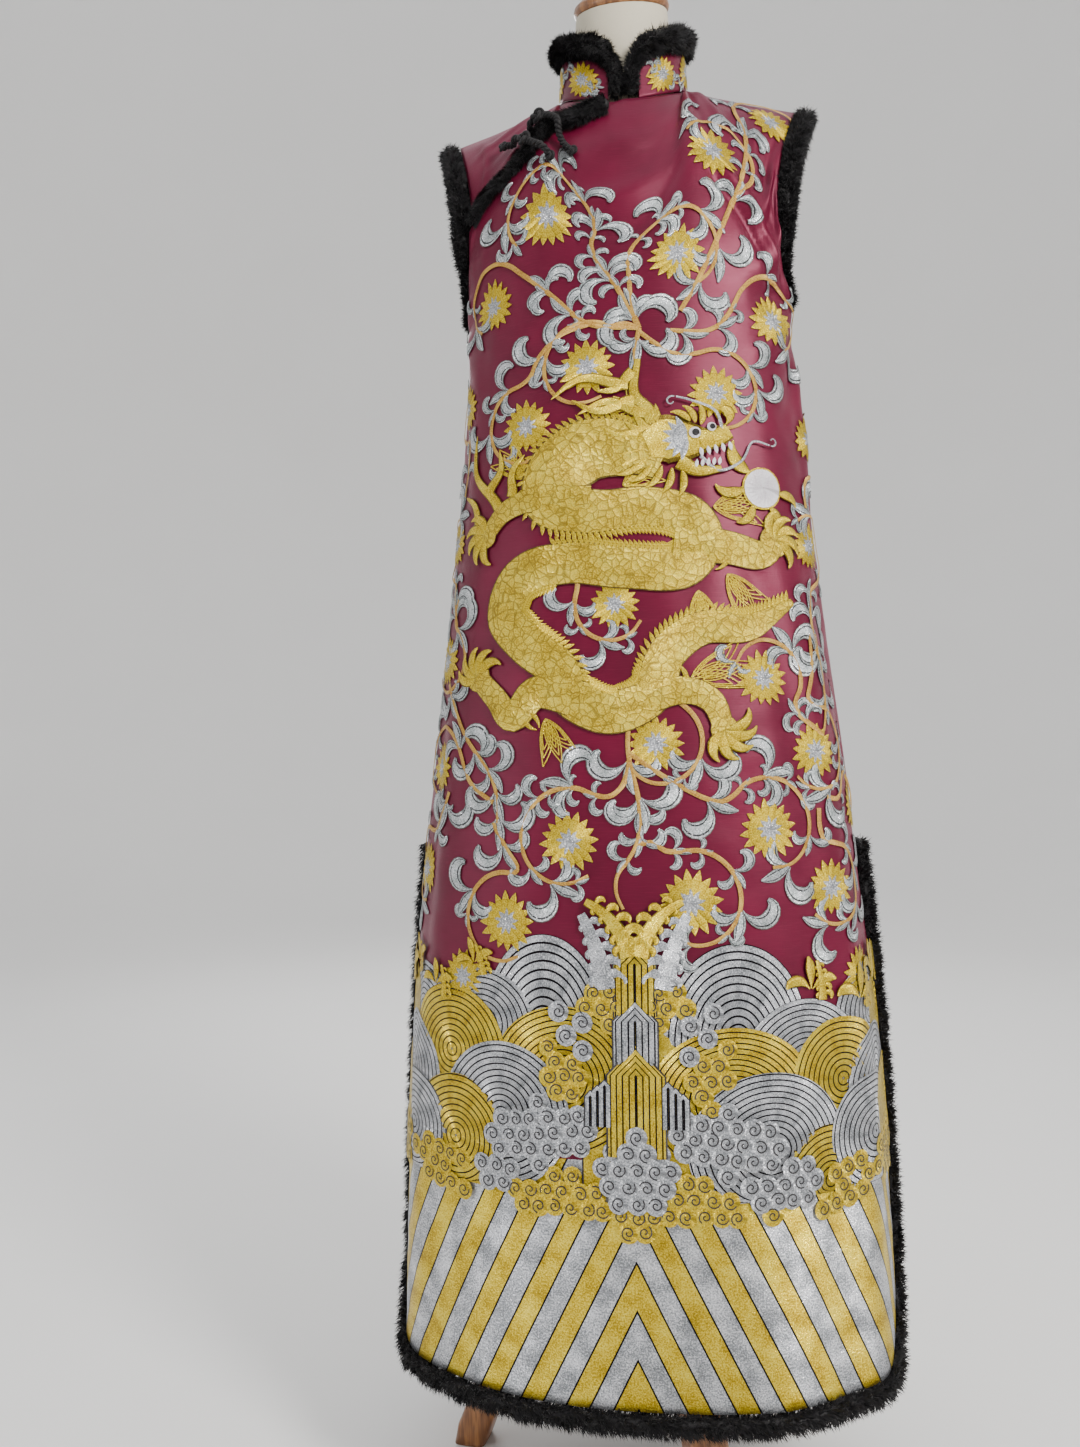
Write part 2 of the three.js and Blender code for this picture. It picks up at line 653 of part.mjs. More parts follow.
function addNeck(points, triangles, span) {
  const rim = [...span.map((u) => formPoint(FRONT, u, 2)),
    ...span.slice(1, -1).reverse().map((u) => formPoint(BACK, u, 2))];
  const rise = [[0, 0, 0], [0.14, 0.6, 0], [0.3, 1, 0], [0.6, 1, 0.2], [1, 1, 1]];
  const start = points.length;
  for (const [up, inset, taper] of rise) {
    const neck = FORM_NECK_RADIUS + (FORM_NECK_TOP_RADIUS - FORM_NECK_RADIUS) * taper;
    for (const point of rim) {
      const scale = 1 + (neck / Math.hypot(point.x, point.y) - 1) * inset;
      const z = point.z + (neckTopZ(point.y * scale) - point.z) * up;
      points.push(new THREE.Vector3(point.x * scale, point.y * scale, z));
    }
  }
  triangles.push(...gridTriangles(rise.length, rim.length, start, false, true));
  const top = start + (rise.length - 1) * rim.length;
  points.push(new THREE.Vector3(0, 0, FORM_NECK_TOP_Z));
  for (let c = 0; c < rim.length; c += 1) {
    triangles.push(points.length - 1, top + c, top + (c + 1) % rim.length);
  }
}

function turned(profile, sides) {
  const geometry = new THREE.LatheGeometry(profile.map(([r, z]) => new THREE.Vector2(r, z)), sides);
  geometry.rotateX(Math.PI / 2);
  geometry.deleteAttribute('normal');
  geometry.deleteAttribute('uv');
  return tidy(geometry);
}

function neckCap() {
  const r = FORM_NECK_TOP_RADIUS;
  const geometry = turned([[0, 0], [r + CAP_LIP / 2, 0], [r + CAP_LIP, 4], [r + CAP_LIP / 2, 9],
    [r - 6, 15], [r - 26, CAP_HEIGHT - 3], [0, CAP_HEIGHT]], 28);
  geometry.rotateX(Math.atan(FORM_NECK_TILT));
  geometry.translate(0, 0, FORM_NECK_TOP_Z + 2 * TOUCH);
  return geometry;
}

function standColumn() {
  const top = FORM_BOTTOM_Z - TOUCH;
  return turned([[0, HUB_BOTTOM_Z - 22], [11, HUB_BOTTOM_Z - 16], [19, HUB_BOTTOM_Z],
    [HUB_RADIUS, HUB_BOTTOM_Z + 5], [HUB_RADIUS, HUB_TOP_Z], [24, HUB_TOP_Z + 12],
    [COLUMN_RADIUS, HUB_TOP_Z + 24], [COLUMN_RADIUS, top - 30], [FORM_DISC, top - 12], [FORM_DISC, top],
    [0, top]], 20);
}

// A curved leg, drawn in its own upright plane and given its width
function standLeg(turn) {
  const root = HUB_RADIUS + TOUCH;
  const outline = new THREE.Shape();
  outline.moveTo(root, HUB_TOP_Z - 10);
  outline.bezierCurveTo(112, HUB_TOP_Z - 12, 150, 152, LEG_REACH - 4, 20);
  outline.lineTo(LEG_REACH, 0);
  outline.lineTo(LEG_REACH - FOOT_LENGTH, 0);
  outline.bezierCurveTo(150, 70, 112, 205, root, HUB_BOTTOM_Z + 12);
  const geometry = new THREE.ExtrudeGeometry(outline, {
    depth: LEG_WIDTH, bevelEnabled: false, curveSegments: 9,
  });
  geometry.translate(0, 0, -LEG_WIDTH / 2);
  geometry.rotateX(Math.PI / 2);
  geometry.rotateZ(turn);
  geometry.deleteAttribute('normal');
  geometry.deleteAttribute('uv');
  return tidy(geometry);
}

const cheongsam = new THREE.Group();
cheongsam.add(named('front_panel', frontPanel(), satin));
cheongsam.add(named('front_yoke', frontYoke(), satin));
cheongsam.add(named('back_panel', backPanel(), satin));
cheongsam.add(named('stand_collar', standCollar(), satin));
cheongsam.add(named('fur_collar', furCollar(), fur));
cheongsam.add(named('fur_opening', furOpening(), fur));
cheongsam.add(named('fur_armhole_left', furArmhole(1), fur));
cheongsam.add(named('fur_armhole_right', furArmhole(-1), fur));
cheongsam.add(named('fur_hem_front', furHem(FRONT), fur));
cheongsam.add(named('fur_hem_back', furHem(BACK), fur));
Object.entries(FROGS).forEach(([name, row]) => cheongsam.add(named(name, frog(row), cord)));
cheongsam.add(named('form_torso', formTorso(), formCloth));
cheongsam.add(named('neck_cap', neckCap(), wood));
cheongsam.add(named('stand_column', standColumn(), wood));
['front', 'left', 'right'].forEach((place, i) => {
  const turn = (LEG_FIRST_ANGLE + 120 * i) * Math.PI / 180;
  cheongsam.add(named(`stand_leg_${place}`, standLeg(turn), wood));
});

export default cheongsam;
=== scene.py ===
import math

import bmesh
import bpy
import numpy as np
from mathutils import Matrix, Vector


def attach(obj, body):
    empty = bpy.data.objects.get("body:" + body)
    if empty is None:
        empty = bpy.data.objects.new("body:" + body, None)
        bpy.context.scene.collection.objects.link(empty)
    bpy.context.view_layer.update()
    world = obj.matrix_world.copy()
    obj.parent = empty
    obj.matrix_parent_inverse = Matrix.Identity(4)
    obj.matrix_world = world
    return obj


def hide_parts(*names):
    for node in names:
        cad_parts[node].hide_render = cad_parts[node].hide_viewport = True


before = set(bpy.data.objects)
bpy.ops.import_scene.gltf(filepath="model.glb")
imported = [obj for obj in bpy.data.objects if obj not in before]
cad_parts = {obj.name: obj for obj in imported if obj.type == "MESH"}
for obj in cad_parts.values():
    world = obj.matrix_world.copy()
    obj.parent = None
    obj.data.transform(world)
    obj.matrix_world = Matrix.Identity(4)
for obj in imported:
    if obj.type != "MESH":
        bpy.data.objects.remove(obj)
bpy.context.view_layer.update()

# A long sleeveless padded cheongsam on a limbless dress form. Metres, +Z up. The front faces -Y
# and +X is the wearer's left. Cloth, stitching and fur all lie on one garment surface: face is
# -1 in front and 1 behind, u runs from -1 at the wearer's right to 1 at the left, and w from 0
# at the hem to 1 at the armpit and 2 at the shoulder.

FRONT, BACK = -1, 1
FULL_TURN = 2 * math.pi
QUARTER_TURN = math.pi / 2

# Cloth
WALL = 0.0024
SEAM_HALF = 0.0002
HEM_Z = 0.16
ARMPIT_Z = 1.205
SLIT_TOP_Z = 0.69
SLIT_START = 0.018
CORNER_WIDE = 0.105
CORNER_HIGH = 0.085
ROUNDNESS = 2.3

# Neckline, collar and shoulders
NECK_RADIUS = 0.066
NECK_FRONT_Z = 1.411
NECK_BACK_Z = 1.456
NECK_TURN = 0.09
NECK_SHARE = 0.3
NECK_DIP = 5
TIP_X = 0.181
TIP_Z = 1.416
SHOULDER_SWELL = 0.03
ARMHOLE_HOLD = 4
COLLAR_HEIGHT = 0.043
COLLAR_LEAN = 0.003
COLLAR_CORNER = 0.022
COLLAR_SEAT = 0.0036

# Fur and frogs
EDGE_FUR = 0.0105
EDGE_FUR_SEAT = 0.0019
HEM_FUR_SEAT = -0.0003
COLLAR_END_FUR = 0.0075
COLLAR_TOP_FUR = 0.012
OPENING_FUR_HIGH = 0.010
TOUCH = 0.0003
LAP = 0.13
LAP_RISE = WALL + 3 * TOUCH
# The front lies over the yoke up to this share of the chest below the opening, then sinks back
LAP_NEAR = 0.2
LAP_FAR = 0.42
LAP_PAST_MIDDLE = 0.14
FROG_CORD = 0.0056

# Dress form
FORM_BOTTOM_Z = 0.78
FORM_NECK_RADIUS = 0.052
FORM_NECK_TOP_RADIUS = 0.049
FORM_NECK_TOP_Z = 1.546
FORM_NECK_TILT = 0.35
FORM_EDGE = 0.93
FORM_SHOULDER_GAP = 0.0011
FORM_NECK_INSET = 0.008
FORM_NECK_DROP = 0.004

# Half width and half depth of the closed body below the armpits
BODY = {
    "z": [0.16, 0.3, 0.45, 0.6, 0.75, 0.9, 1.05, 1.15, 1.205],
    "wide": [0.249, 0.245, 0.238, 0.227, 0.211, 0.193, 0.178, 0.171, 0.167],
    "deep": [0.19, 0.183, 0.174, 0.161, 0.146, 0.13, 0.116, 0.108, 0.104],
}
# The edges of an armhole, from the armpit to the shoulder tip
ARMHOLE = {
    "t": [0, 0.04, 0.08, 0.13, 0.28, 0.45, 0.62, 0.82, 1],
    "out": [0.167, 0.166, 0.163, 0.16, 0.157, 0.158, 0.164, 0.174, 0.181],
    "fore": [0, 0.017, 0.031, 0.04, 0.048, 0.045, 0.037, 0.019, 0],
    "aft": [0, 0.017, 0.03, 0.039, 0.046, 0.044, 0.037, 0.019, 0],
    "z": [1.205, 1.21, 1.222, 1.238, 1.278, 1.321, 1.36, 1.396, 1.416],
}
# The slanting edge of the front, from the wearer's right armpit to the neck
OPENING = {
    "u": [-1, -0.82, -0.7, -0.56, -0.42, -0.3, -0.2, -0.11, -0.04, 0],
    "tau": [0.36, 0.4, 0.43, 0.475, 0.53, 0.61, 0.7, 0.82, 0.95, 1],
}
# Half width and half depth of the dress form below the armpits
FORM = {
    "z": [0.78, 0.86, 0.95, 1.035, 1.12, 1.205],
    "wide": [0.148, 0.154, 0.14, 0.121, 0.134, 0.141],
    "deep": [0.1, 0.103, 0.093, 0.08, 0.088, 0.09],
}
# Long soft folds of the skirt: place across, drift towards the hem, half width, height, top
FOLDS = {
    FRONT: [(0.63, 0.05, 0.1, 0.008, 1.05), (-0.6, -0.05, 0.13, 0.006, 0.93), (0.3, 0.04, 0.12, 0.004, 0.7)],
    BACK: [(-0.62, -0.04, 0.11, 0.008, 1.0), (-0.18, -0.03, 0.12, 0.006, 0.86),
           (0.22, 0.03, 0.11, 0.007, 0.95), (0.64, 0.05, 0.12, 0.006, 0.9)],
}


def ease(start, end, value):
    """From 0 at start to 1 at end, level at both."""
    t = np.clip((np.asarray(value, float) - start) / (end - start), 0, 1)
    return t * t * (3 - 2 * t)


def hermite(a, b, slope_a, slope_b, t):
    """A smooth curve from a to b that leaves and arrives at the given slopes."""
    t2, t3 = t * t, t * t * t
    places = a * (2 * t3 - 3 * t2 + 1) + b * (3 * t2 - 2 * t3)
    return places + slope_a * (t3 - 2 * t2 + t) + slope_b * (t3 - t2)


def look_up(table, key, column, at):
    """A table's column at any key, on a smooth curve through its rows."""
    keys, values = np.array(table[key], float), np.array(table[column], float)
    row = np.arange(len(keys))
    after, before = np.minimum(row + 1, len(keys) - 1), np.maximum(row - 1, 0)
    slope = (values[after] - values[before]) / (keys[after] - keys[before])
    i = np.clip(np.searchsorted(keys, at) - 1, 0, len(keys) - 2)
    span = keys[i + 1] - keys[i]
    t = np.clip((at - keys[i]) / span, 0, 1)
    return hermite(values[i], values[i + 1], slope[i] * span, slope[i + 1] * span, t)


def section_point(table, face, u, z):
    """A point of a level section, which is an oval a little squarer than an ellipse."""
    power = 2 / ROUNDNESS
    turn = u * QUARTER_TURN
    x = look_up(table, "z", "wide", z) * np.sign(u) * np.abs(np.sin(turn)) ** power
    y = face * look_up(table, "z", "deep", z) * np.abs(np.cos(turn)) ** power
    return np.stack([x, y, z + 0 * u], -1)


def fold_height(face, u, z):
    """How far the skirt's folds stand out."""
    height = 0 * u
    for at, drift, width, high, top in FOLDS[face]:
        down = np.clip((top - z) / (top - HEM_Z), 0, 1)
        offset = (u - at - drift * down) / width
        height = height + high * np.exp(-offset * offset) * ease(0, 0.75, down)
    return height


def body_point(face, u, z):
    """A point of the closed body with its folds."""
    point = section_point(BODY, face, u, z)
    wide, deep = look_up(BODY, "z", "wide", z), look_up(BODY, "z", "deep", z)
    out = np.stack([point[..., 0] / wide ** 2, point[..., 1] / deep ** 2, 0 * u], -1)
    out /= np.linalg.norm(out, axis=-1, keepdims=True)
    return point + out * fold_height(face, u, z)[..., None]


def neck_point(angle, radius):
    """The neckline, from its front at angle 0; it dips at the front and rises behind."""
    rise = 1 - np.abs(np.cos(angle / 2)) ** NECK_DIP
    z = NECK_FRONT_Z + (NECK_BACK_Z - NECK_FRONT_Z) * rise
    turned = angle + NECK_TURN * np.maximum(np.cos(angle), 0)
    return np.stack([radius * np.sin(turned), -radius * np.cos(turned), z + 0 * turned], -1)


def top_point(face, u, radius=NECK_RADIUS):
    """The top edge: round the neck up to NECK_SHARE, then out to the shoulder tip."""
    side, sign = np.abs(u), np.where(u < 0, -1.0, 1.0)
    turned = np.sin(np.minimum(side / NECK_SHARE, 1) * QUARTER_TURN) * QUARTER_TURN
    angle = turned if face == FRONT else math.pi - turned
    point = neck_point(angle * sign, radius)
    along = 1 - np.cos(np.clip((side - NECK_SHARE) / (1 - NECK_SHARE), 0, 1) * QUARTER_TURN)
    x = point[..., 0] * sign
    point[..., 0] = (x + (TIP_X - x) * along) * sign
    point[..., 2] += (TIP_Z - point[..., 2]) * along
    return point


def chest_to_top(face, u, tau, chest, top):
    """The cloth from the armpit's height up to its top edge; tau is the share of the way."""
    to_shoulder = ease(NECK_SHARE * 0.1, NECK_SHARE, np.abs(u))
    rise = top[..., 2] - chest[..., 2]
    depth = np.abs(top[..., 1] - chest[..., 1]) + SHOULDER_SWELL
    end_y = -face * depth * (1 + 0.8 * to_shoulder)
    x = hermite(chest[..., 0], top[..., 0], -0.05 * chest[..., 0], -0.1 * chest[..., 0], tau)
    y = hermite(chest[..., 1], top[..., 1], -0.1 * chest[..., 1], end_y, tau)
    z_start, z_end = rise * (1 + 0.25 * to_shoulder), rise * (0.95 - 0.8 * to_shoulder)
    z = hermite(chest[..., 2], top[..., 2], z_start, z_end, tau)
    return np.stack([x, y, z], -1)


def with_armhole(point, face, u, tau):
    """The same cloth with its outer edge drawn to the edge of the armhole."""
    one = np.ones_like(tau)
    chest, top = body_point(face, one, ARMPIT_Z * one), top_point(face, one)
    plain = chest_to_top(face, one, tau, chest, top)
    depth = look_up(ARMHOLE, "t", "fore" if face == FRONT else "aft", tau)
    pull_x = (look_up(ARMHOLE, "t", "out", tau) - plain[..., 0]) * np.sign(u)
    pull_y = face * depth - plain[..., 1]
    pull_z = look_up(ARMHOLE, "t", "z", tau) - plain[..., 2]
    share = np.abs(u) ** ARMHOLE_HOLD
    return point + np.stack([pull_x, pull_y, pull_z], -1) * share[..., None]


def cloth_point(face, u, w):
    """The garment surface as the solids have it."""
    u, w = alike(u, w)
    low = body_point(face, u, HEM_Z + (ARMPIT_Z - HEM_Z) * np.minimum(w, 1))
    tau = np.clip(w - 1, 0, 1)
    chest = body_point(face, u, ARMPIT_Z + 0 * u)
    high = with_armhole(chest_to_top(face, u, tau, chest, top_point(face, u)), face, u, tau)
    point = np.where((w <= 1)[..., None], low, high)
    point[..., 1] += face * SEAM_HALF
    return point


def unit(vector):
    """The same direction, one long."""
    return vector / np.maximum(np.linalg.norm(vector, axis=-1, keepdims=True), 1e-12)


def alike(u, w):
    """Both as arrays of one shape."""
    return np.broadcast_arrays(np.asarray(u, float), np.asarray(w, float))


def path_length(path):
    """The distance walked along a path up to each of its points."""
    return np.concatenate([[0], np.cumsum(np.linalg.norm(np.diff(path, axis=0), axis=1))])


# How far apart the points are that give the cloth's direction
NEARBY = 0.004


def cloth_normal(face, u, w):
    """The way out of the cloth."""
    u, w = alike(u, w)
    left, right = (cloth_point(face, np.clip(u + way * NEARBY, -1, 1), w) for way in (-1, 1))
    below, above = (cloth_point(face, u, np.clip(w + way * NEARBY, 0, 2)) for way in (-1, 1))
    return unit(np.cross(right - left, above - below)) * -face


def opening_tau(u):
    """How far up the chest the front's edge lies; it is whole on the wearer's left."""
    return np.where(np.asarray(u) >= 0, 1.0, look_up(OPENING, "u", "tau", np.minimum(u, 0)))


def overlap_rise(u, w):
    """Along the opening the front lies over the yoke."""
    share = np.where(w < 1, (ARMPIT_Z - HEM_Z) / (TIP_Z - ARMPIT_Z), 1)
    below = opening_tau(u) + (1 - w) * share
    return LAP_RISE * ease(LAP_FAR, LAP_NEAR, below) * ease(LAP_PAST_MIDDLE, 0, u)


def height_to_w(z):
    """The garment surface's w at a height of the skirt."""
    return (z - HEM_Z) / (ARMPIT_Z - HEM_Z)


def side_reach(z):
    """How far a panel reaches round its side: below the slit's top it leaves room for the fur."""
    gap = (2 * EDGE_FUR + 2 * TOUCH) * ease(SLIT_TOP_Z + SLIT_START, SLIT_TOP_Z - SLIT_START, z)
    return 2 / math.pi * np.arccos((gap / look_up(BODY, "z", "deep", z)) ** (ROUNDNESS / 2))


def hem_lift(across):
    """How much higher than its middle the hem is, at its round corners."""
    reach = side_reach(np.array(HEM_Z))
    z = np.full_like(across, HEM_Z)
    point = section_point(BODY, FRONT, across * reach, z)
    corner = section_point(BODY, FRONT, reach, np.array(HEM_Z))
    away = np.hypot(corner[0] - np.abs(point[..., 0]), corner[1] - point[..., 1])
    inset = np.clip(1 - away / CORNER_WIDE, 0, 1)
    return CORNER_HIGH * (1 - np.sqrt(1 - inset ** 2))


def lower_place(across, t):
    """A place on the skirt, from the hem at t 0 to the armpit's height at t 1."""
    lift = hem_lift(across)
    z = HEM_Z + lift + (ARMPIT_Z - HEM_Z - lift) * t
    return across * side_reach(z), height_to_w(z)


# Rows and columns of the flat pattern, and how many to each side of its middle give its height
PATTERN_STEPS = 160
PATTERN_MIDDLE = 30


class Pattern:
    """A face of the garment laid flat: x along the cloth from its middle and y up from the hem."""

    def __init__(self, face):
        self.face = face
        middle = PATTERN_STEPS // 2
        around = slice(middle - PATTERN_MIDDLE, middle + PATTERN_MIDDLE + 1)
        self.w = np.linspace(0, 2, PATTERN_STEPS + 1)
        self.u = np.linspace(-1, 1, PATTERN_STEPS + 1)
        grid = cloth_point(face, self.u[None, :], self.w[:, None])
        step = np.linalg.norm(np.diff(grid, axis=1), axis=-1)
        along = np.concatenate([np.zeros((len(self.w), 1)), np.cumsum(step, 1)], 1)
        self.x = along - along[:, middle:middle + 1]
        rise = np.linalg.norm(np.diff(grid[:, around], axis=0), axis=-1).mean(1)
        self.y = np.concatenate([[0], np.cumsum(rise)])
        share = self.u
        self.reach = np.stack([-self.x[:, 0], self.x[:, -1]], 1)
        rows = []
        for x, (left, right) in zip(self.x, self.reach):
            rows.append(np.interp(np.where(share < 0, share * left, share * right), x, self.u))
        self.u_of_share = np.array(rows)

    def rows(self, w):
        """The row of the pattern below a height w, and how far past it w lies."""
        row = np.clip(w / 2 * PATTERN_STEPS, 0, PATTERN_STEPS - 0.001)
        low = row.astype(int)
        return low, row - low

    @staticmethod
    def across(table, low, part, share):
        """A table's value between its rows and columns."""
        place = (share + 1) * (PATTERN_STEPS // 2)
        column = np.clip(place.astype(int), 0, PATTERN_STEPS - 1)
        aside = place - column
        value = 0
        for row, weight in ((low, 1 - part), (low + 1, part)):
            near, far = table[row, column], table[row, column + 1]
            value = value + weight * (near + (far - near) * aside)
        return value

    def to_cloth(self, x, y):
        """The garment surface's u and w at a place of the pattern."""
        w = np.interp(y, self.y, self.w)
        low, part = self.rows(w)
        reach = self.reach[low] * (1 - part[..., None]) + self.reach[low + 1] * part[..., None]
        share = np.where(x < 0, x / reach[..., 0], x / reach[..., 1])
        return self.across(self.u_of_share, low, part, np.clip(share, -1, 1)), w

    def from_cloth(self, u, w):
        """The place of the pattern at the garment surface's u and w."""
        return self.across(self.x, *self.rows(w), u), np.interp(w, self.w, self.y)


# Soft creases: two ends as (u, w), half width and height; below zero is a trough
CREASES = {FRONT: [
    ((0.97, 1.16), (0.45, 0.985), 0.010, -0.0046), ((0.96, 1.28), (0.52, 1.06), 0.009, 0.0046),
    ((0.95, 1.4), (0.6, 1.17), 0.009, -0.0026), ((0.96, 1.08), (0.5, 0.93), 0.011, 0.005),
    ((0.98, 1.0), (0.62, 0.86), 0.012, -0.0044), ((0.9, 0.97), (0.74, 0.72), 0.014, 0.0048),
    ((-0.97, 1.14), (-0.5, 1.0), 0.012, -0.0028), ((-0.96, 1.02), (-0.58, 0.9), 0.013, 0.0028),
    ((-0.92, 0.95), (-0.72, 0.75), 0.016, -0.003), ((0.1, 0.86), (0.14, 0.66), 0.016, -0.0022),
    ((-0.28, 0.8), (-0.36, 0.56), 0.018, 0.0024), ((0.4, 0.74), (0.5, 0.42), 0.018, -0.0044),
    ((0.82, 0.7), (0.86, 0.3), 0.018, -0.005), ((-0.78, 0.62), (-0.84, 0.2), 0.02, -0.004),
    ((-0.16, 0.4), (-0.2, 0.06), 0.02, -0.0036), ((0.12, 0.34), (0.1, 0.03), 0.022, 0.004),
    ((-0.4, 1.8), (-0.76, 1.5), 0.007, 0.003), ((-0.46, 1.92), (-0.86, 1.6), 0.006, -0.0024),
    ((-0.52, 1.95), (-0.92, 1.72), 0.006, 0.0026), ((-0.4, 1.66), (-0.74, 1.38), 0.008, -0.0022),
    ((-0.9, 1.86), (-0.84, 1.5), 0.007, 0.0022), ((0.34, 1.86), (0.42, 1.56), 0.011, -0.003),
    ((0.46, 1.9), (0.62, 1.5), 0.01, 0.003), ((0.84, 1.82), (0.7, 1.4), 0.009, 0.0032),
    ((0.95, 1.66), (0.72, 1.28), 0.008, -0.0028), ((0.38, 1.38), (0.74, 0.99), 0.007, -0.0052),
    ((0.46, 1.42), (0.82, 1.03), 0.007, 0.005), ((0.95, 1.5), (0.66, 1.24), 0.006, 0.0034),
    ((0.96, 1.36), (0.7, 1.12), 0.006, -0.003), ((0.1, 1.58), (-0.16, 1.36), 0.012, 0.0022),
    ((0.2, 1.5), (-0.02, 1.24), 0.012, -0.002),
], BACK: [
    ((-0.97, 1.15), (-0.48, 0.98), 0.012, -0.0034), ((-0.96, 1.03), (-0.54, 0.9), 0.013, 0.0034),
    ((-0.9, 0.93), (-0.7, 0.7), 0.016, -0.0032), ((0.97, 1.18), (0.5, 1.0), 0.011, 0.003),
    ((0.96, 1.05), (0.55, 0.92), 0.013, -0.0034), ((0.9, 0.96), (0.72, 0.74), 0.015, 0.003),
    ((0.05, 0.9), (0.02, 0.64), 0.018, -0.0028), ((-0.4, 0.7), (-0.46, 0.3), 0.02, -0.0034),
    ((0.42, 0.66), (0.46, 0.2), 0.02, -0.0034), ((0.0, 0.42), (0.03, 0.04), 0.024, 0.003),
    ((0.2, 1.9), (0.34, 1.6), 0.012, -0.0024), ((-0.24, 1.9), (-0.36, 1.62), 0.012, -0.0022),
]}
BODY_LENGTH = 1.05
CHEST_LENGTH = 0.24
HALF_ROUND = 0.25
CREASE_BEND = 0.06
PUCKER = 0.0002
PUCKER_PACE = 90
PUCKER_SPREAD = 130


def rough_place(u, w):
    """Metres across and up, near enough for the creases' widths."""
    return u * HALF_ROUND, np.where(w < 1, w * BODY_LENGTH, BODY_LENGTH + (w - 1) * CHEST_LENGTH)


def crease_height(face, u, w):
    """The height of all creases: each bows a little and fades at its ends."""
    x, y = rough_place(u, w)
    height = 0 * x
    for start, end, width, high in CREASES[face]:
        ax, ay = (float(v) for v in rough_place(*np.array(start)))
        bx, by = (float(v) for v in rough_place(*np.array(end)))
        length = math.hypot(bx - ax, by - ay)
        along = ((x - ax) * (bx - ax) + (y - ay) * (by - ay)) / length
        bend = CREASE_BEND * length * np.sin(math.pi * np.clip(along / length, 0, 1))
        aside = ((x - ax) * (by - ay) - (y - ay) * (bx - ax)) / length + bend
        fade = ease(-0.012, 0.02, along) * ease(length + 0.03, length * 0.45, along)
        height = height + high * fade * np.exp(-(aside / width) ** 2)
    return height


PUCKERS = np.random.default_rng(7).uniform(0, 1, (9, 3))


def pucker_height(u, w):
    """Small uneven waves of a padded satin."""
    x, y = rough_place(u, w)
    height = 0 * x
    for turn, phase, pace in PUCKERS:
        along = x * math.cos(turn * math.pi) + y * math.sin(turn * math.pi)
        wave = (PUCKER_PACE + PUCKER_SPREAD * pace) * along
        height = height + np.sin(wave + phase * FULL_TURN)
    return PUCKER * height / 2


def surface(face, u, w, height=0.0):
    """A point of the finished cloth, so much above its inner side."""
    u, w = alike(u, w)
    rise = overlap_rise(u, w) if face == FRONT else 0 * u
    calm = ease(1, 0.96, np.abs(u)) * ease(2, 1.96, w)
    soft = (crease_height(face, u, w) + pucker_height(u, w)) * calm
    return cloth_point(face, u, w) + cloth_normal(face, u, w) * (rise + soft + height)[..., None]


def yoke_surface(u, w, height=0.0):
    """The same for the yoke, which lies flat where the front covers it."""
    u, w = alike(u, w)
    calm = ease(1, 0.96, np.abs(u)) * ease(2, 1.96, w) * ease(0.1, 0.3, w - 1 - opening_tau(u) + 0.3)
    soft = crease_height(FRONT, u, w) * calm
    return cloth_point(FRONT, u, w) + cloth_normal(FRONT, u, w) * (soft + height)[..., None]


def collar_point(angle, height, depth):
    """A point of the standing collar, so far round and up, and so deep from its inner side."""
    radius = NECK_RADIUS + depth - COLLAR_LEAN * height / COLLAR_HEIGHT
    point = neck_point(angle, radius)
    point[..., 2] += height + COLLAR_SEAT
    return point


class Wire:
    """A socket that Python's operators join through Math nodes."""

    def __init__(self, finish, socket):
        self.finish, self.socket = finish, socket

    def join(self, operation, *others):
        values = dict(zip(("Value", "Value_001", "Value_002"), (self, *others)))
        return self.finish.node("ShaderNodeMath", {"operation": operation}, values)

    def __add__(self, other):
        return self.join("ADD", other)

    __radd__ = __add__

    def __sub__(self, other):
        return self.join("SUBTRACT", other)

    def __rsub__(self, other):
        return (self * -1) + other

    def __mul__(self, other):
        return self.join("MULTIPLY", other)

    __rmul__ = __mul__

    def __truediv__(self, other):
        return self.join("DIVIDE", other)

    def __abs__(self):
        return self.join("ABSOLUTE")

    def __pow__(self, other):
        return self.join("POWER", other)

    def __mod__(self, other):
        return self.join("FLOORED_MODULO", other)

    def __lt__(self, other):
        return self.join("LESS_THAN", other)

    def __gt__(self, other):
        return self.join("GREATER_THAN", other)

    def sine(self):
        return self.join("SINE")


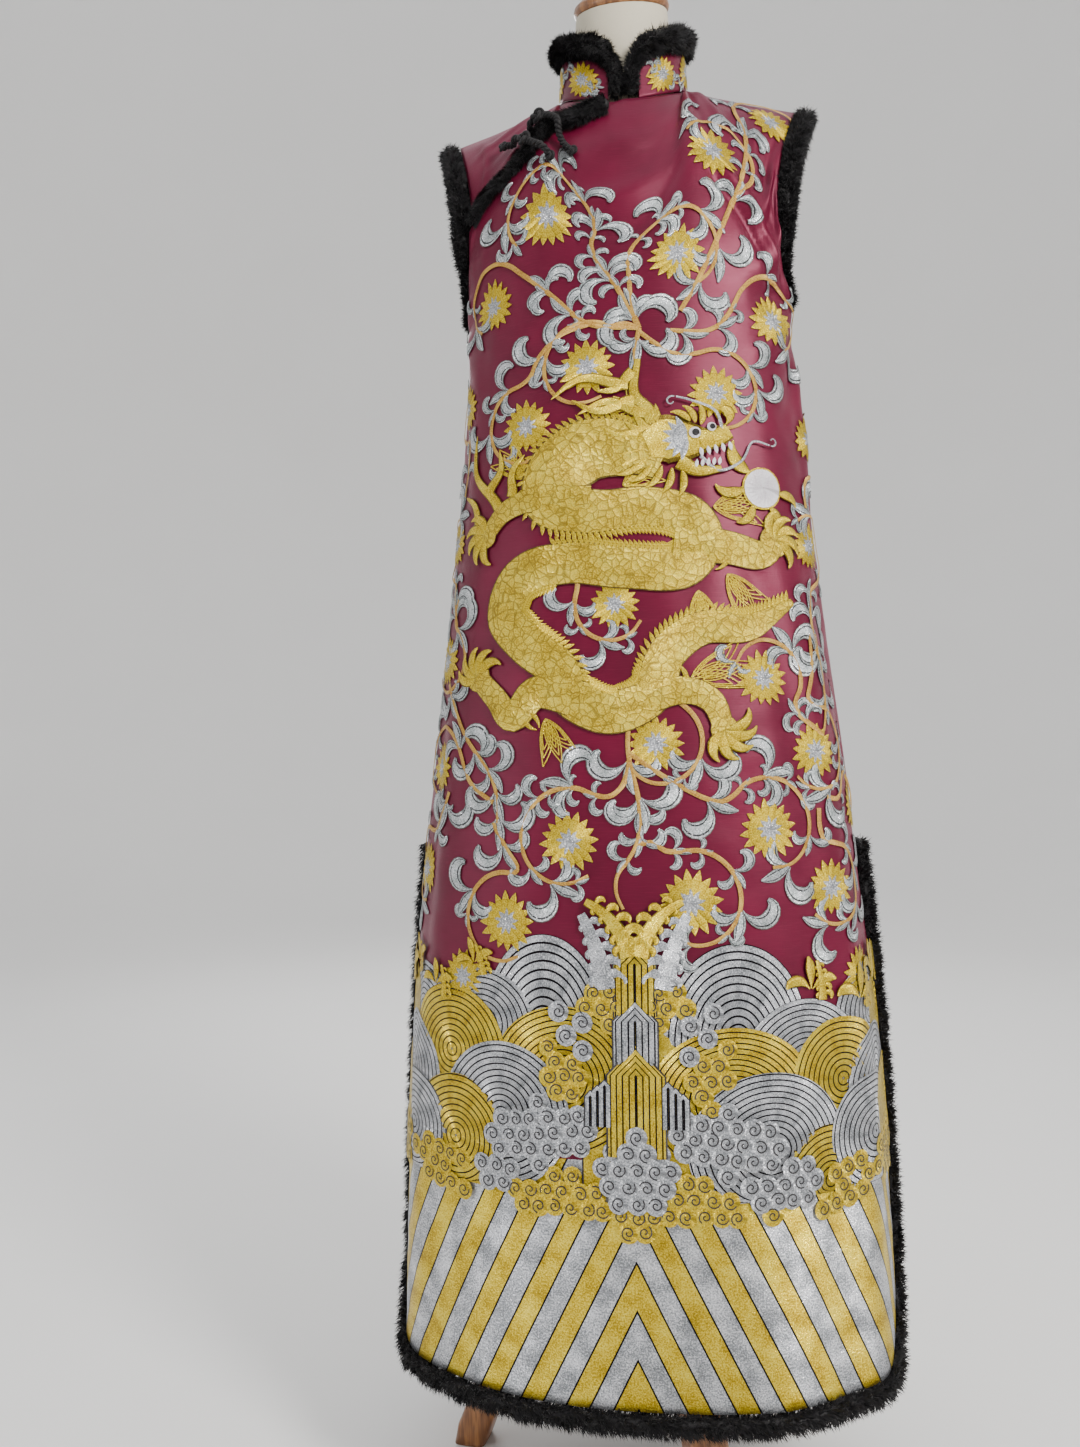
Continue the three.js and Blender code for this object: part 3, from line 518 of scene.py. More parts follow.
class Finish:
    """A material whose shader is written as expressions."""

    def __init__(self, name, roughness=0.5, **constants):
        self.material = bpy.data.materials.new(name)
        self.material.use_nodes = True
        self.tree = self.material.node_tree
        self.shader = self.tree.nodes["Principled BSDF"]
        self.shader.inputs["Roughness"].default_value = roughness
        for label, value in constants.items():
            self.shader.inputs[self.titled(label)].default_value = value

    @staticmethod
    def titled(label):
        return label.replace("_", " ").title().replace("Ior", "IOR")

    def node(self, kind, settings=None, inputs=None, output=0):
        made = self.tree.nodes.new(kind)
        for label, value in (settings or {}).items():
            setattr(made, label, value)
        for label, value in (inputs or {}).items():
            self.feed(self.socket_of(made.inputs, label), value)
        found = made.outputs[output] if isinstance(output, int) else self.socket_of(made.outputs, output)
        return Wire(self, found)

    @staticmethod
    def socket_of(sockets, label):
        for socket in sockets:
            if socket.identifier == label:
                return socket
        return sockets[label]

    def feed(self, socket, value):
        if isinstance(value, Wire):
            self.tree.links.new(value.socket, socket)
        else:
            socket.default_value = value

    def set(self, **inputs):
        for label, value in inputs.items():
            self.feed(self.shader.inputs[self.titled(label)], value)
        return self.material

    def mix(self, share, first, second):
        values = {"Factor_Float": share, "A_Color": first, "B_Color": second}
        return self.node("ShaderNodeMix", {"data_type": "RGBA"}, values, "Result_Color")

    def uv(self, layer):
        flat = self.node("ShaderNodeUVMap", {"uv_map": layer})
        parts = self.tree.nodes.new("ShaderNodeSeparateXYZ")
        self.tree.links.new(flat.socket, parts.inputs[0])
        return flat, Wire(self, parts.outputs[0]), Wire(self, parts.outputs[1])

    def place(self):
        return self.node("ShaderNodeTexCoord", output="Object")

    def noise(self, vector, scale, detail=3.0, roughness=0.5):
        values = {"Vector": vector, "Scale": scale, "Detail": detail, "Roughness": roughness}
        return self.node("ShaderNodeTexNoise", None, values)

    def spots(self, vector, scale, feature="F1"):
        values = {"Vector": vector, "Scale": scale}
        return self.node("ShaderNodeTexVoronoi", {"feature": feature}, values)

    def ramp(self, value, start, end, low=0.0, high=1.0):
        values = {"Value": value, "From Min": start, "From Max": end, "To Min": low, "To Max": high}
        return self.node("ShaderNodeMapRange", {"clamp": True}, values)

    def bump(self, height, depth, strength=1.0):
        values = {"Height": height, "Distance": depth, "Strength": strength}
        return self.node("ShaderNodeBump", None, values)


# Colours
BURGUNDY = (0.1, 0.0022, 0.019, 1)
BURGUNDY_DEEP = (0.062, 0.0014, 0.012, 1)
# The bright gold and silver below are colours of painted glints on the thread, and the deep ones are colours
# of painted shade; the deep gold also marks the seams between the scales
GOLD = (0.62, 0.42, 0.014, 1)
GOLD_GLINT = (1.0, 0.82, 0.1, 1)
GOLD_SHADE_AND_SEAM = (0.2, 0.125, 0.004, 1)
SILVER = (0.35, 0.365, 0.385, 1)
SILVER_GLINT = (0.95, 0.95, 1.0, 1)
SILVER_SHADE = (0.13, 0.14, 0.15, 1)
INK = (0.006, 0.004, 0.006, 1)
RIM = (0.035, 0.014, 0.006, 1)
# Threads: their plain colour, the bright colour of their painted glints and the deep colour of their painted
# shade
GOLDS = (GOLD, GOLD_GLINT, GOLD_SHADE_AND_SEAM)
SILVERS = (SILVER, SILVER_GLINT, SILVER_SHADE)
LEAVES = ((0.36, 0.41, 0.4, 1), SILVER_GLINT, SILVER_SHADE)
VINES = ((0.5, 0.26, 0.03, 1), (0.75, 0.5, 0.12, 1), (0.22, 0.1, 0.01, 1))
INKS = (INK, (0.02, 0.015, 0.02, 1), INK)
PEARLS = ((0.8, 0.8, 0.84, 1), (1, 1, 1, 1), (0.6, 0.45, 0.5, 1))
# The hem's bands: their height, slope, top edge, middle line and the inked line between them
STRIPE = 0.042
STRIPE_SLOPE = 1.96
STRIPE_TOP = 0.215
STRIPE_MIDDLE = 0.006
STRIPE_LINE = 0.0034
# Threads to the metre
THREAD = 900.0
SATIN_WARP = 1700
SATIN_WEFT = 1100


def thread_shades(finish, stitch, plain, bright, deep, lay):
    """Colour, roughness and relief of laid metal thread, with painted glints in the bright colour and
    painted shade in the deep one; lay is the way the threads run.
    """
    glitter = finish.noise(stitch, 620.0, 2.0, 0.75)
    cloudy = finish.noise(stitch, 45.0, 3.0)
    strands = ((lay * (FULL_TURN * THREAD)).sine() + 1) * 0.5
    # Painted glints: spots of the bright colour where the glitter noise is high
    light = finish.ramp(glitter * 0.65 + cloudy * 0.35, 0.47, 0.62)
    colour = finish.mix(light, plain, bright)
    # Painted shade in the deep colour where the noise is low, with some uneven tone from the cloudy noise
    dark = finish.ramp(glitter * 0.6 + cloudy * 0.4, 0.49, 0.36)
    colour = finish.mix(dark * 0.85, colour, deep)
    # Painted shade in the deep colour in the grooves between the strands
    colour = finish.mix((1 - strands) * 0.4, colour, deep)
    roughness = finish.ramp(light, 0.0, 1.0, 0.4, 0.24)
    return colour, roughness, strands * 0.7 + glitter * 1.6


def metal_thread(name, shades, ring=None, lines=None, metallic=0.85, rim=None):
    """Satin stitch in metal thread of a plain colour, with painted glints in a bright colour and painted
    shade in a deep one.

    ring is the place and half width of an inked line inside the edge, lines the pitch and
    width of inked rows, and rim the place where a dark edge starts.
    """
    finish = Finish(name, metallic=metallic)
    stitch, along, across = finish.uv("stitch")
    _, side, _ = finish.uv("edge")
    slant = along + across * 0.35
    colour, roughness, relief = thread_shades(finish, stitch, *shades, slant)
    if ring:
        inked = (abs(abs(side) - ring[0]) < ring[1]) * (finish.noise(stitch, 500.0) > 0.38)
        colour = finish.mix(inked * 0.9, colour, INK)
        relief = relief - inked * 0.8
    if rim:
        colour = finish.mix((abs(side) > rim) * 0.8, colour, RIM)
    if lines:
        inked = (across % lines[0]) < lines[1]
        colour = finish.mix(inked, colour, INK)
        relief = relief - inked * 1.2
    normal = finish.bump(relief, 0.00035, 1.0)
    return finish.set(base_color=colour, roughness=roughness, normal=normal)


def satin_finish():
    """Burgundy satin with a tinted sheen and a fine weave."""
    finish = Finish("burgundy_satin", sheen_weight=0.16, sheen_roughness=0.4,
                    sheen_tint=(0.7, 0.12, 0.25, 1), specular_ior_level=0.6,
                    specular_tint=(1, 0.32, 0.45, 1))
    flat, x, y = finish.uv("stitch")
    weave = ((x * (FULL_TURN * SATIN_WARP)).sine() + (y * (FULL_TURN * SATIN_WEFT)).sine()) * 0.25 + 0.5
    mottle = finish.noise(flat, 14.0, 3.0)
    slub = finish.noise(finish.node("ShaderNodeMapping", None, {"Vector": flat, "Scale": (60, 900, 1)}), 1.0)
    cloth = finish.mix(finish.ramp(mottle, 0.3, 0.7), BURGUNDY, BURGUNDY_DEEP)
    cloth = finish.mix(finish.ramp(slub, 0.5, 0.75, 0, 0.3), cloth, (0.15, 0.008, 0.035, 1))
    normal = finish.bump(weave * 0.35 + slub * 0.5, 0.00022, 0.7)
    return finish.set(base_color=cloth, roughness=mottle * 0.06 + 0.33, normal=normal)


def striped_finish():
    """The hem's slanting bands of gold and silver thread, with inked lines between them."""
    finish = Finish("hem_stripes", metallic=0.85)
    flat, x, y = finish.uv("stitch")
    down = y + abs(x - STRIPE_MIDDLE) * STRIPE_SLOPE
    gold = (down % (2 * STRIPE)) < STRIPE
    lay = y - x * 0.4
    # Both bands carry painted glints and painted shade from their threads
    gold_colour, roughness, relief = thread_shades(finish, flat, *GOLDS, lay)
    silver_colour, _, _ = thread_shades(finish, flat, *SILVERS, lay)
    inked = (down % STRIPE) < STRIPE_LINE
    colour = finish.mix(inked, finish.mix(gold, silver_colour, gold_colour), INK)
    normal = finish.bump(relief * 1.5 - inked * 2.0, 0.00022, 0.8)
    return finish.set(base_color=colour, roughness=roughness, normal=normal)


def lining_finish():
    """A plain dark lining."""
    finish = Finish("plain_lining", sheen_weight=0.1)
    place = finish.place()
    weave = finish.noise(place, 900.0, 2.0)
    mottle = finish.noise(place, 12.0, 3.0)
    colour = finish.mix(mottle, (0.035, 0.003, 0.01, 1), (0.06, 0.006, 0.018, 1))
    normal = finish.bump(weave, 0.0002, 0.5)
    return finish.set(base_color=colour, roughness=0.55 + weave * 0.1, normal=normal)


def fur_finish():
    """Black fur: the hairs are modelled, so the finish holds their colour and gloss."""
    finish = Finish("black_fur", sheen_weight=0.08, sheen_roughness=0.4, specular_ior_level=0.3)
    place = finish.place()
    tufts = finish.noise(place, 140.0, 3.0)
    colour = finish.mix(finish.ramp(tufts, 0.4, 0.7), (0.0012, 0.001, 0.0013, 1), (0.006, 0.0045, 0.006, 1))
    return finish.set(base_color=colour, roughness=0.5 + tufts * 0.2)


def cord_finish():
    """Black silk cord with fine fibres."""
    finish = Finish("black_cord", sheen_weight=0.05, specular_ior_level=0.3)
    place = finish.place()
    fibres = finish.noise(place, 1800.0, 2.0)
    colour = finish.mix(fibres, (0.0012, 0.001, 0.0012, 1), (0.008, 0.006, 0.007, 1))
    normal = finish.bump(fibres, 0.0003, 0.8)
    return finish.set(base_color=colour, roughness=0.55 + fibres * 0.2, normal=normal)


def form_finish():
    """The dress form's ivory knitted cover."""
    finish = Finish("ivory_form_cloth", sheen_weight=0.15, sheen_roughness=0.4)
    place = finish.place()
    knit = finish.noise(place, 1300.0, 2.0)
    patches = finish.noise(place, 9.0, 4.0)
    colour = finish.mix(patches, (0.68, 0.63, 0.5, 1), (0.8, 0.76, 0.66, 1))
    colour = finish.mix(finish.ramp(knit, 0.35, 0.6, 0, 0.2), (0.5, 0.45, 0.34, 1), colour)
    normal = finish.bump(knit, 0.0002, 0.5)
    return finish.set(base_color=colour, roughness=0.62 + patches * 0.15, normal=normal)


def wood_finish():
    """Varnished wood with its grain upright."""
    finish = Finish("varnished_wood", specular_ior_level=0.5, coat_weight=0.35, coat_roughness=0.18)
    place = finish.place()
    stretched = finish.node("ShaderNodeMapping", None, {"Vector": place, "Scale": (60, 60, 6)})
    wander = finish.noise(stretched, 1.0, 4.0, 0.6)
    drawn_out = finish.node("ShaderNodeMapping", None, {"Vector": place, "Scale": (900, 900, 40)})
    pores = finish.noise(drawn_out, 1.0)
    rings = (wander * 26.0).sine() * 0.5 + 0.5
    colour = finish.mix(rings, (0.17, 0.06, 0.016, 1), (0.34, 0.14, 0.04, 1))
    colour = finish.mix(finish.ramp(pores, 0.55, 0.7, 0, 0.6), colour, (0.06, 0.02, 0.006, 1))
    normal = finish.bump(pores * 0.6 + rings * 0.4, 0.0002, 0.4)
    return finish.set(base_color=colour, roughness=0.34 + pores * 0.15, normal=normal)


def floor_finish():
    """A pale floor with a faint unevenness."""
    finish = Finish("pale_floor")
    place = finish.place()
    tone = finish.noise(place, 1.5, 3.0)
    colour = finish.mix(tone, (0.78, 0.77, 0.755, 1), (0.82, 0.815, 0.8, 1))
    return finish.set(base_color=colour, roughness=0.75 + tone * 0.1)


def mesh_object(name, points, faces, materials, uvs=None, picked=None):
    """One object from arrays: faces are triangles or quads, uvs give each point's place per layer."""
    mesh = bpy.data.meshes.new(name)
    points, faces = np.asarray(points, np.float32), np.asarray(faces, np.int32)
    sides = faces.shape[1]
    mesh.vertices.add(len(points))
    mesh.vertices.foreach_set("co", points.ravel())
    mesh.loops.add(faces.size)
    mesh.loops.foreach_set("vertex_index", faces.ravel())
    mesh.polygons.add(len(faces))
    mesh.polygons.foreach_set("loop_start", np.arange(0, faces.size, sides, dtype=np.int32))
    mesh.polygons.foreach_set("use_smooth", np.full(len(faces), True))
    for layer, flat in (uvs or {}).items():
        made = mesh.uv_layers.new(name=layer)
        made.data.foreach_set("uv", np.asarray(flat, np.float32)[faces.ravel()].ravel())
    for material in materials:
        mesh.materials.append(material)
    if picked is not None:
        mesh.polygons.foreach_set("material_index", np.asarray(picked, np.int32))
    mesh.update()
    mesh.validate()
    made = bpy.data.objects.new(name, mesh)
    bpy.context.scene.collection.objects.link(made)
    return made


def place_piece(piece, slot, *nodes):
    """Lets a piece ride on the body and hides the solids it stands for; slot is not used."""
    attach(piece, "root")
    if nodes:
        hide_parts(*nodes)
    return piece


def grid_faces(rows, columns, closed=False, start=0):
    """Quads of a grid of points, whose rows may close on themselves."""
    r = np.arange(rows - 1)[:, None]
    c = np.arange(columns if closed else columns - 1)[None, :]
    after = (c + 1) % columns
    corners = [r * columns + c, r * columns + after, (r + 1) * columns + after, (r + 1) * columns + c]
    return np.stack(corners, -1).reshape(-1, 4) + start


def shell(name, outer, inner, flat, flip):
    """A closed thin wall: satin outside, lining inside and satin round its edge."""
    rows, columns = outer.shape[:2]
    count = rows * columns
    front = grid_faces(rows, columns)
    back = grid_faces(rows, columns, start=count)[:, ::-1]
    ring = np.concatenate([
        np.arange(columns - 1), np.arange(rows - 1) * columns + columns - 1,
        (rows - 1) * columns + np.arange(columns - 1, 0, -1), np.arange(rows - 1, 0, -1) * columns])
    after = np.roll(ring, -1)
    rim = np.stack([ring, ring + count, after + count, after], -1)
    faces = np.concatenate([front, back, rim])
    if flip:
        faces = faces[:, ::-1]
    points = np.concatenate([outer.reshape(-1, 3), inner.reshape(-1, 3)])
    flats = np.concatenate([flat.reshape(-1, 2)] * 2)
    lined = np.concatenate([np.zeros(len(front)), np.ones(len(back)), np.zeros(len(rim))])
    striped = flats[faces][..., 1].mean(1) < STRIPE_TOP
    picked = np.where((lined == 0) & striped, 2, lined)
    return mesh_object(name, points, faces, [SATIN, LINING, STRIPED], {"stitch": flats}, picked)


SATIN = satin_finish()
STRIPED = striped_finish()
LINING = lining_finish()
FUR = fur_finish()
CORD = cord_finish()
IVORY = form_finish()
WOOD = wood_finish()
PATTERNS = {face: Pattern(face) for face in (FRONT, BACK)}
# How finely the panels are made
COLUMNS = 117
LOWER_ROWS = 128
UPPER_ROWS = 56
SIDE_CROWDING = 0.72
COLLAR_STEPS = 138
COLLAR_FUR_STEPS = 58
# The collar's pattern lies well above the stripes
COLLAR_PATTERN_Y = 2.0


def panel(name, face):
    """The front or the back, with its columns closer together towards the sides."""
    crowding = QUARTER_TURN * SIDE_CROWDING
    across = np.sin(np.linspace(-1, 1, COLUMNS) * crowding) / math.sin(crowding)
    t = np.linspace(0, 1, LOWER_ROWS)[:, None]
    low_u, low_w = lower_place(np.broadcast_to(across, (LOWER_ROWS, COLUMNS)), t)
    tau = np.linspace(0, 1, UPPER_ROWS)[1:, None]
    high_w = 1 + tau * (opening_tau(across) if face == FRONT else np.ones(COLUMNS))[None, :]
    u = np.concatenate([low_u, np.broadcast_to(across, high_w.shape)])
    w = np.concatenate([low_w, high_w])
    x, y = PATTERNS[face].from_cloth(u, np.minimum(w, 2))
    flat = np.stack([x, y], -1)
    return shell(name, surface(face, u, w, WALL), surface(face, u, w, 0.0), flat, face == BACK)


def yoke():
    """The right part of the front, which starts a lap below the opening."""
    across = np.linspace(-1, 0, 61)
    start = np.maximum(opening_tau(across) - LAP, 0.02)
    t = np.linspace(0, 1, 37)[:, None]
    w = 1 + start + (1 - start) * t
    u = np.broadcast_to(across, w.shape)
    x, y = PATTERNS[FRONT].from_cloth(u, w)
    flat = np.stack([x, y], -1)
    return shell("front_yoke_cloth", yoke_surface(u, w, WALL), yoke_surface(u, w), flat, False)


def round_the_collar(ends, count):
    """Angles round the neck from one front end to the other, with the ends' own steps."""
    middle = np.linspace(ends[-1], FULL_TURN - ends[-1], count + 2)[1:-1]
    return np.concatenate([ends, middle, (FULL_TURN - ends)[::-1]])


def both_ends(values, count):
    """The ends' values, with the last of them kept all the way round."""
    return np.concatenate([values, np.full(count, values[-1]), values[::-1]])


def collar():
    """The standing collar with round front corners."""
    turn = np.linspace(0, QUARTER_TURN, 12)
    gap = 2 * COLLAR_END_FUR + 2 * TOUCH
    arc = gap + COLLAR_CORNER * (1 - np.cos(turn))
    high = COLLAR_HEIGHT - COLLAR_CORNER + COLLAR_CORNER * np.sin(turn)
    top = both_ends(high, COLLAR_STEPS)
    height = np.linspace(0, 1, 13)[:, None] * top[None, :]
    angle = np.broadcast_to(round_the_collar(arc / NECK_RADIUS, COLLAR_STEPS), height.shape)
    flat = np.stack([angle * NECK_RADIUS, height + COLLAR_PATTERN_Y], -1)
    outer, inner = collar_point(angle, height, WALL), collar_point(angle, height, 0.0)
    return shell("stand_collar_cloth", outer, inner, flat, False)


def with_sides(at, normal, closed=False):
    """The ways ahead, aside and out at each point of a path."""
    if closed:
        ahead = np.roll(at, -1, 0) - np.roll(at, 1, 0)
    else:
        ahead = np.gradient(at, axis=0)
    ahead = unit(ahead)
    side = unit(np.cross(ahead, normal))
    return ahead, side, unit(np.cross(side, ahead))


def tube(at, normal, radius, sides=12, closed=False, across=1.0):
    """Points and faces of a tube round a path, with domed or joined ends."""
    ahead, side, up = with_sides(at, normal, closed)
    angle = np.linspace(0, FULL_TURN, sides, endpoint=False)
    radius = np.broadcast_to(radius, len(at))[:, None, None]
    rings = at[:, None] + radius * (across * np.cos(angle)[None, :, None] * side[:, None]
                                    + np.sin(angle)[None, :, None] * up[:, None])
    points = rings.reshape(-1, 3)
    faces = grid_faces(len(at), sides, closed=True)
    last = (len(at) - 1) * sides
    c = np.arange(sides)
    if closed:
        joint = np.stack([last + c, last + (c + 1) % sides, (c + 1) % sides, c], -1)
        return points, np.concatenate([faces, joint])
    domes = [at[0] - ahead[0] * radius[0, 0, 0] * 0.5, at[-1] + ahead[-1] * radius[-1, 0, 0] * 0.5]
    points = np.concatenate([points, domes])
    first, end = len(points) - 2, len(points) - 1
    start_cap = np.stack([np.full(sides, first), (c + 1) % sides, c, c], -1)
    after = last + (c + 1) % sides
    end_cap = np.stack([np.full(sides, end), last + c, after, after], -1)
    return points, np.concatenate([faces, start_cap, end_cap])


def triangles(faces):
    """Quads as triangles, leaving out those with no area."""
    halves = np.concatenate([faces[:, [0, 1, 2]], faces[:, [0, 2, 3]]])
    good = (halves[:, 0] != halves[:, 1]) & (halves[:, 1] != halves[:, 2]) & (halves[:, 0] != halves[:, 2])
    return halves[good]


def even_path(at, closed, spacing):
    """The same path with even steps: each step's row and share along it."""
    ends = np.concatenate([at, at[:1]]) if closed else at
    length = path_length(ends)
    count = max(int(length[-1] / spacing), 2)
    wanted = np.linspace(0, length[-1], count, endpoint=not closed)
    return np.interp(wanted, length, np.arange(len(ends)))


def along_path(values, place, closed):
    """Values given at a path's points, read at any places along it."""
    ends = np.concatenate([values, values[:1]]) if closed else values
    low = np.clip(place.astype(int), 0, len(ends) - 2)
    part = (place - low).reshape(-1, *([1] * (values.ndim - 1)))
    return ends[low] * (1 - part) + ends[low + 1] * part


# Fur: how deep a hair is rooted, its width, how it leans along the strip, and the core's size
HAIR_ROOT = 0.5
HAIR_WIDTH = 0.00125
HAIR_LEAN = 0.35
HAIR_DROP = np.array([0, 0, -0.25])
FUR_STEP = 0.004
FUR_CORE = 0.62
ARMHOLE_HAIRS = 16500
HEM_HAIRS = 33000
COLLAR_HAIRS = 29000
OPENING_HAIRS = 10500
# A hem's strip starts a little below the slit's top; steps along a slit and along the hem
SLIT_FUR_DROP = 0.04
SLIT_STEPS = 16
HEM_STEPS = 39


def fur_strip(name, at, normal, radius, count, seed, closed=False, arc=(0, FULL_TURN), across=1.0):
    """A strip of fur: a dark core with hair blades that lean along it in loose tufts."""
    rng = np.random.default_rng(seed)
    radius = np.broadcast_to(radius, len(at)).astype(float)
    place = even_path(at, closed, FUR_STEP)
    at, normal = along_path(at, place, closed), along_path(normal, place, closed)
    radius = along_path(radius, place, closed)
    frame_lines = with_sides(at, normal, closed)
    core, core_faces = tube(at, normal, radius * FUR_CORE, 10, closed, across)
    where = rng.uniform(0, len(at) - (0 if closed else 1.001), count)
    centre, r = along_path(at, where, closed), along_path(radius, where, closed)[:, None]
    ahead, side, up = (along_path(line, where, closed) for line in frame_lines)
    angle = rng.uniform(*arc, count)[:, None]
    out = np.cos(angle) * side * across + np.sin(angle) * up
    around = -np.sin(angle) * side + np.cos(angle) * up
    hairs = hair_blades(rng, centre + out * r * HAIR_ROOT, r, out, around, ahead, where, angle)
    first = np.arange(count)[:, None] * 5 + len(core)
    hair_faces = np.concatenate([first + [0, 1, 2], first + [0, 2, 3], first + [3, 2, 4]])
    faces = np.concatenate([triangles(core_faces), hair_faces])
    return mesh_object(name, np.concatenate([core, hairs]), faces, [FUR])


def hair_blades(rng, root, r, out, around, ahead, where, angle):
    """Five points for each hair, which bends in its middle and ends in a tip."""
    count = len(root)
    tuft = np.sin(where * 0.9 + 3 * np.sin(angle[:, 0] * 2 + where * 0.23))[:, None]
    sway = np.sin(where * 0.37 + angle[:, 0] * 3)[:, None]
    scatter = rng.normal(0, 0.3, (count, 3))
    lay = unit(out + ahead * (HAIR_LEAN + 0.25 * sway) + around * 0.45 * tuft + scatter + HAIR_DROP)
    length = r * rng.uniform(0.62, 1.0, (count, 1))
    bend = unit(ahead * 0.5 + HAIR_DROP * 1.6 + scatter + around * 0.3 * tuft)
    blade = unit(np.cross(lay, out + scatter)) * HAIR_WIDTH * rng.uniform(0.35, 0.6, (count, 1))
    middle = root + lay * length * 0.6
    tip = middle + unit(lay + bend * 0.7) * length * 0.55
    corners = [root - blade, root + blade, middle + blade * 0.7, middle - blade * 0.7, tip]
    return np.stack(corners, 1).reshape(-1, 3)


def beside_edge(edge, after, normal, inside, seat):
    """The middle of a fur strip that lies just outside an edge of the cloth."""
    ahead = unit(after - edge)
    off = edge - inside
    off = unit(off - ahead * np.sum(off * ahead, -1, keepdims=True))
    return edge + off * (EDGE_FUR + np.reshape(seat, (-1, 1))) + normal * WALL / 2


def armhole_edge(face, side, tau):
    """Half of an armhole, from the armpit to the shoulder; in front it lies over the yoke."""
    at_pit = 1 - ease(0, 0.15, tau)
    one = side + 0 * tau
    edge = cloth_point(face, one, 1 + tau)
    after = cloth_point(face, one, 1 + tau + np.where(tau < 0.5, 0.01, -0.01))
    inside = cloth_point(face, side * (0.9 + 0.08 * at_pit), 1 + tau - 0.03 * at_pit)
    normal = cloth_normal(face, 0.97 * one, 1 + tau)
    lift = 1.3 * overlap_rise(one, 1 + tau) * ease(1, 0.5, tau) if face == FRONT else 0 * tau
    at = beside_edge(edge, after, normal, inside, EDGE_FUR_SEAT + 0.3 * lift)
    return at + normal * lift[:, None], normal


def fur_armhole(name, side, seed):
    """A closed ring of fur round an armhole."""
    tau = np.concatenate([[0.02, 0.05, 0.09, 0.14], np.linspace(0.22, 0.97, 12)])
    front, front_normal = armhole_edge(FRONT, side, tau)
    back, back_normal = armhole_edge(BACK, side, tau[::-1])
    at, normal = np.concatenate([front, back]), np.concatenate([front_normal, back_normal])
    return fur_strip(name, at, normal, EDGE_FUR, ARMHOLE_HAIRS, seed, closed=True)


def fur_hem(name, face, seed):
    """One strip down a slit, round the hem's corners and up the other slit."""
    slit = np.linspace(SLIT_TOP_Z - SLIT_FUR_DROP, HEM_Z + CORNER_HIGH, SLIT_STEPS)
    across = np.sin(np.linspace(-1, 1, HEM_STEPS + 2)[1:-1] * QUARTER_TURN)
    hem_u, hem_w = lower_place(across, 0.0)
    u = np.concatenate([-side_reach(slit), hem_u, side_reach(slit[::-1])])
    w = np.concatenate([height_to_w(slit), hem_w, height_to_w(slit[::-1])])
    aside = np.concatenate([np.full(SLIT_STEPS, 0.05), np.zeros(HEM_STEPS), np.full(SLIT_STEPS, -0.05)])
    edge = cloth_point(face, u, w)
    after = edge + np.gradient(edge, axis=0)
    inside = cloth_point(face, u * 0.9 + aside, w + 0.06)
    normal = cloth_normal(face, u, w)
    at = beside_edge(edge, after, normal, inside, np.full(len(u), HEM_FUR_SEAT))
    return fur_strip(name, at, normal, EDGE_FUR, HEM_HAIRS, seed)


def fur_collar():
    """Fur down the collar's front ends and, thicker, along its top edge."""
    centre = COLLAR_CORNER + 2 * COLLAR_END_FUR + 2 * TOUCH
    turn = np.linspace(0, QUARTER_TURN, 10)
    radius = COLLAR_END_FUR + (COLLAR_TOP_FUR - COLLAR_END_FUR) * ease(0.2, 1.5, turn)
    reach = COLLAR_CORNER + radius + 4 * TOUCH * np.sin(turn) + TOUCH
    arc = np.concatenate([[centre - COLLAR_CORNER - COLLAR_END_FUR - TOUCH], centre - reach * np.cos(turn)])
    high = COLLAR_HEIGHT - COLLAR_CORNER + reach * np.sin(turn)
    high = np.concatenate([[COLLAR_END_FUR], high])
    radius = np.concatenate([[COLLAR_END_FUR], radius])
    angle = round_the_collar(arc / NECK_RADIUS, COLLAR_FUR_STEPS)
    high, radius = both_ends(high, COLLAR_FUR_STEPS), both_ends(radius, COLLAR_FUR_STEPS)
    at = collar_point(angle, high, WALL / 2 + (radius - COLLAR_END_FUR) * 0.7)
    normal = np.stack([np.sin(angle), -np.cos(angle), 0 * angle], -1)
    return fur_strip("fur_on_collar", at, normal, radius, COLLAR_HAIRS, 3)


def opening_fur_scale(u):
    """The opening's fur gets thinner towards the armpit."""
    return 1 - 0.25 * ease(-0.15, -0.6, u)


def fur_opening():
    """A half round of fur along the slanting edge of the front."""
    u = np.linspace(-0.03, -0.94, 60)
    w = 1 + opening_tau(u)
    normal = cloth_normal(FRONT, u, w)
    at = cloth_point(FRONT, u, w) + normal * (LAP_RISE + WALL + 0.002)
    radius = OPENING_FUR_HIGH * opening_fur_scale(u)
    arc = (-0.2, math.pi + 0.2)
    return fur_strip("fur_on_opening", at, normal, radius, OPENING_HAIRS, 5, arc=arc, across=1.15)


# Frogs: both ends on the front as (u, tau) and the share of the way at which each crosses the opening
FROGS = {
    "frog_upper": dict(start=(-0.5, 0.605), end=(-0.105, 0.63), crossing=0.5),
    "frog_lower": dict(start=(-0.7, 0.63), end=(-0.235, 0.475), crossing=0.62),
}
STRAND = 0.34 * FROG_CORD
FROG_STEPS = 150
TWIST_LENGTH = 0.009
FROG_CLEAR = 0.0014
KNOT_SIZE = 0.0062
END_KNOT_SIZE = 0.0045


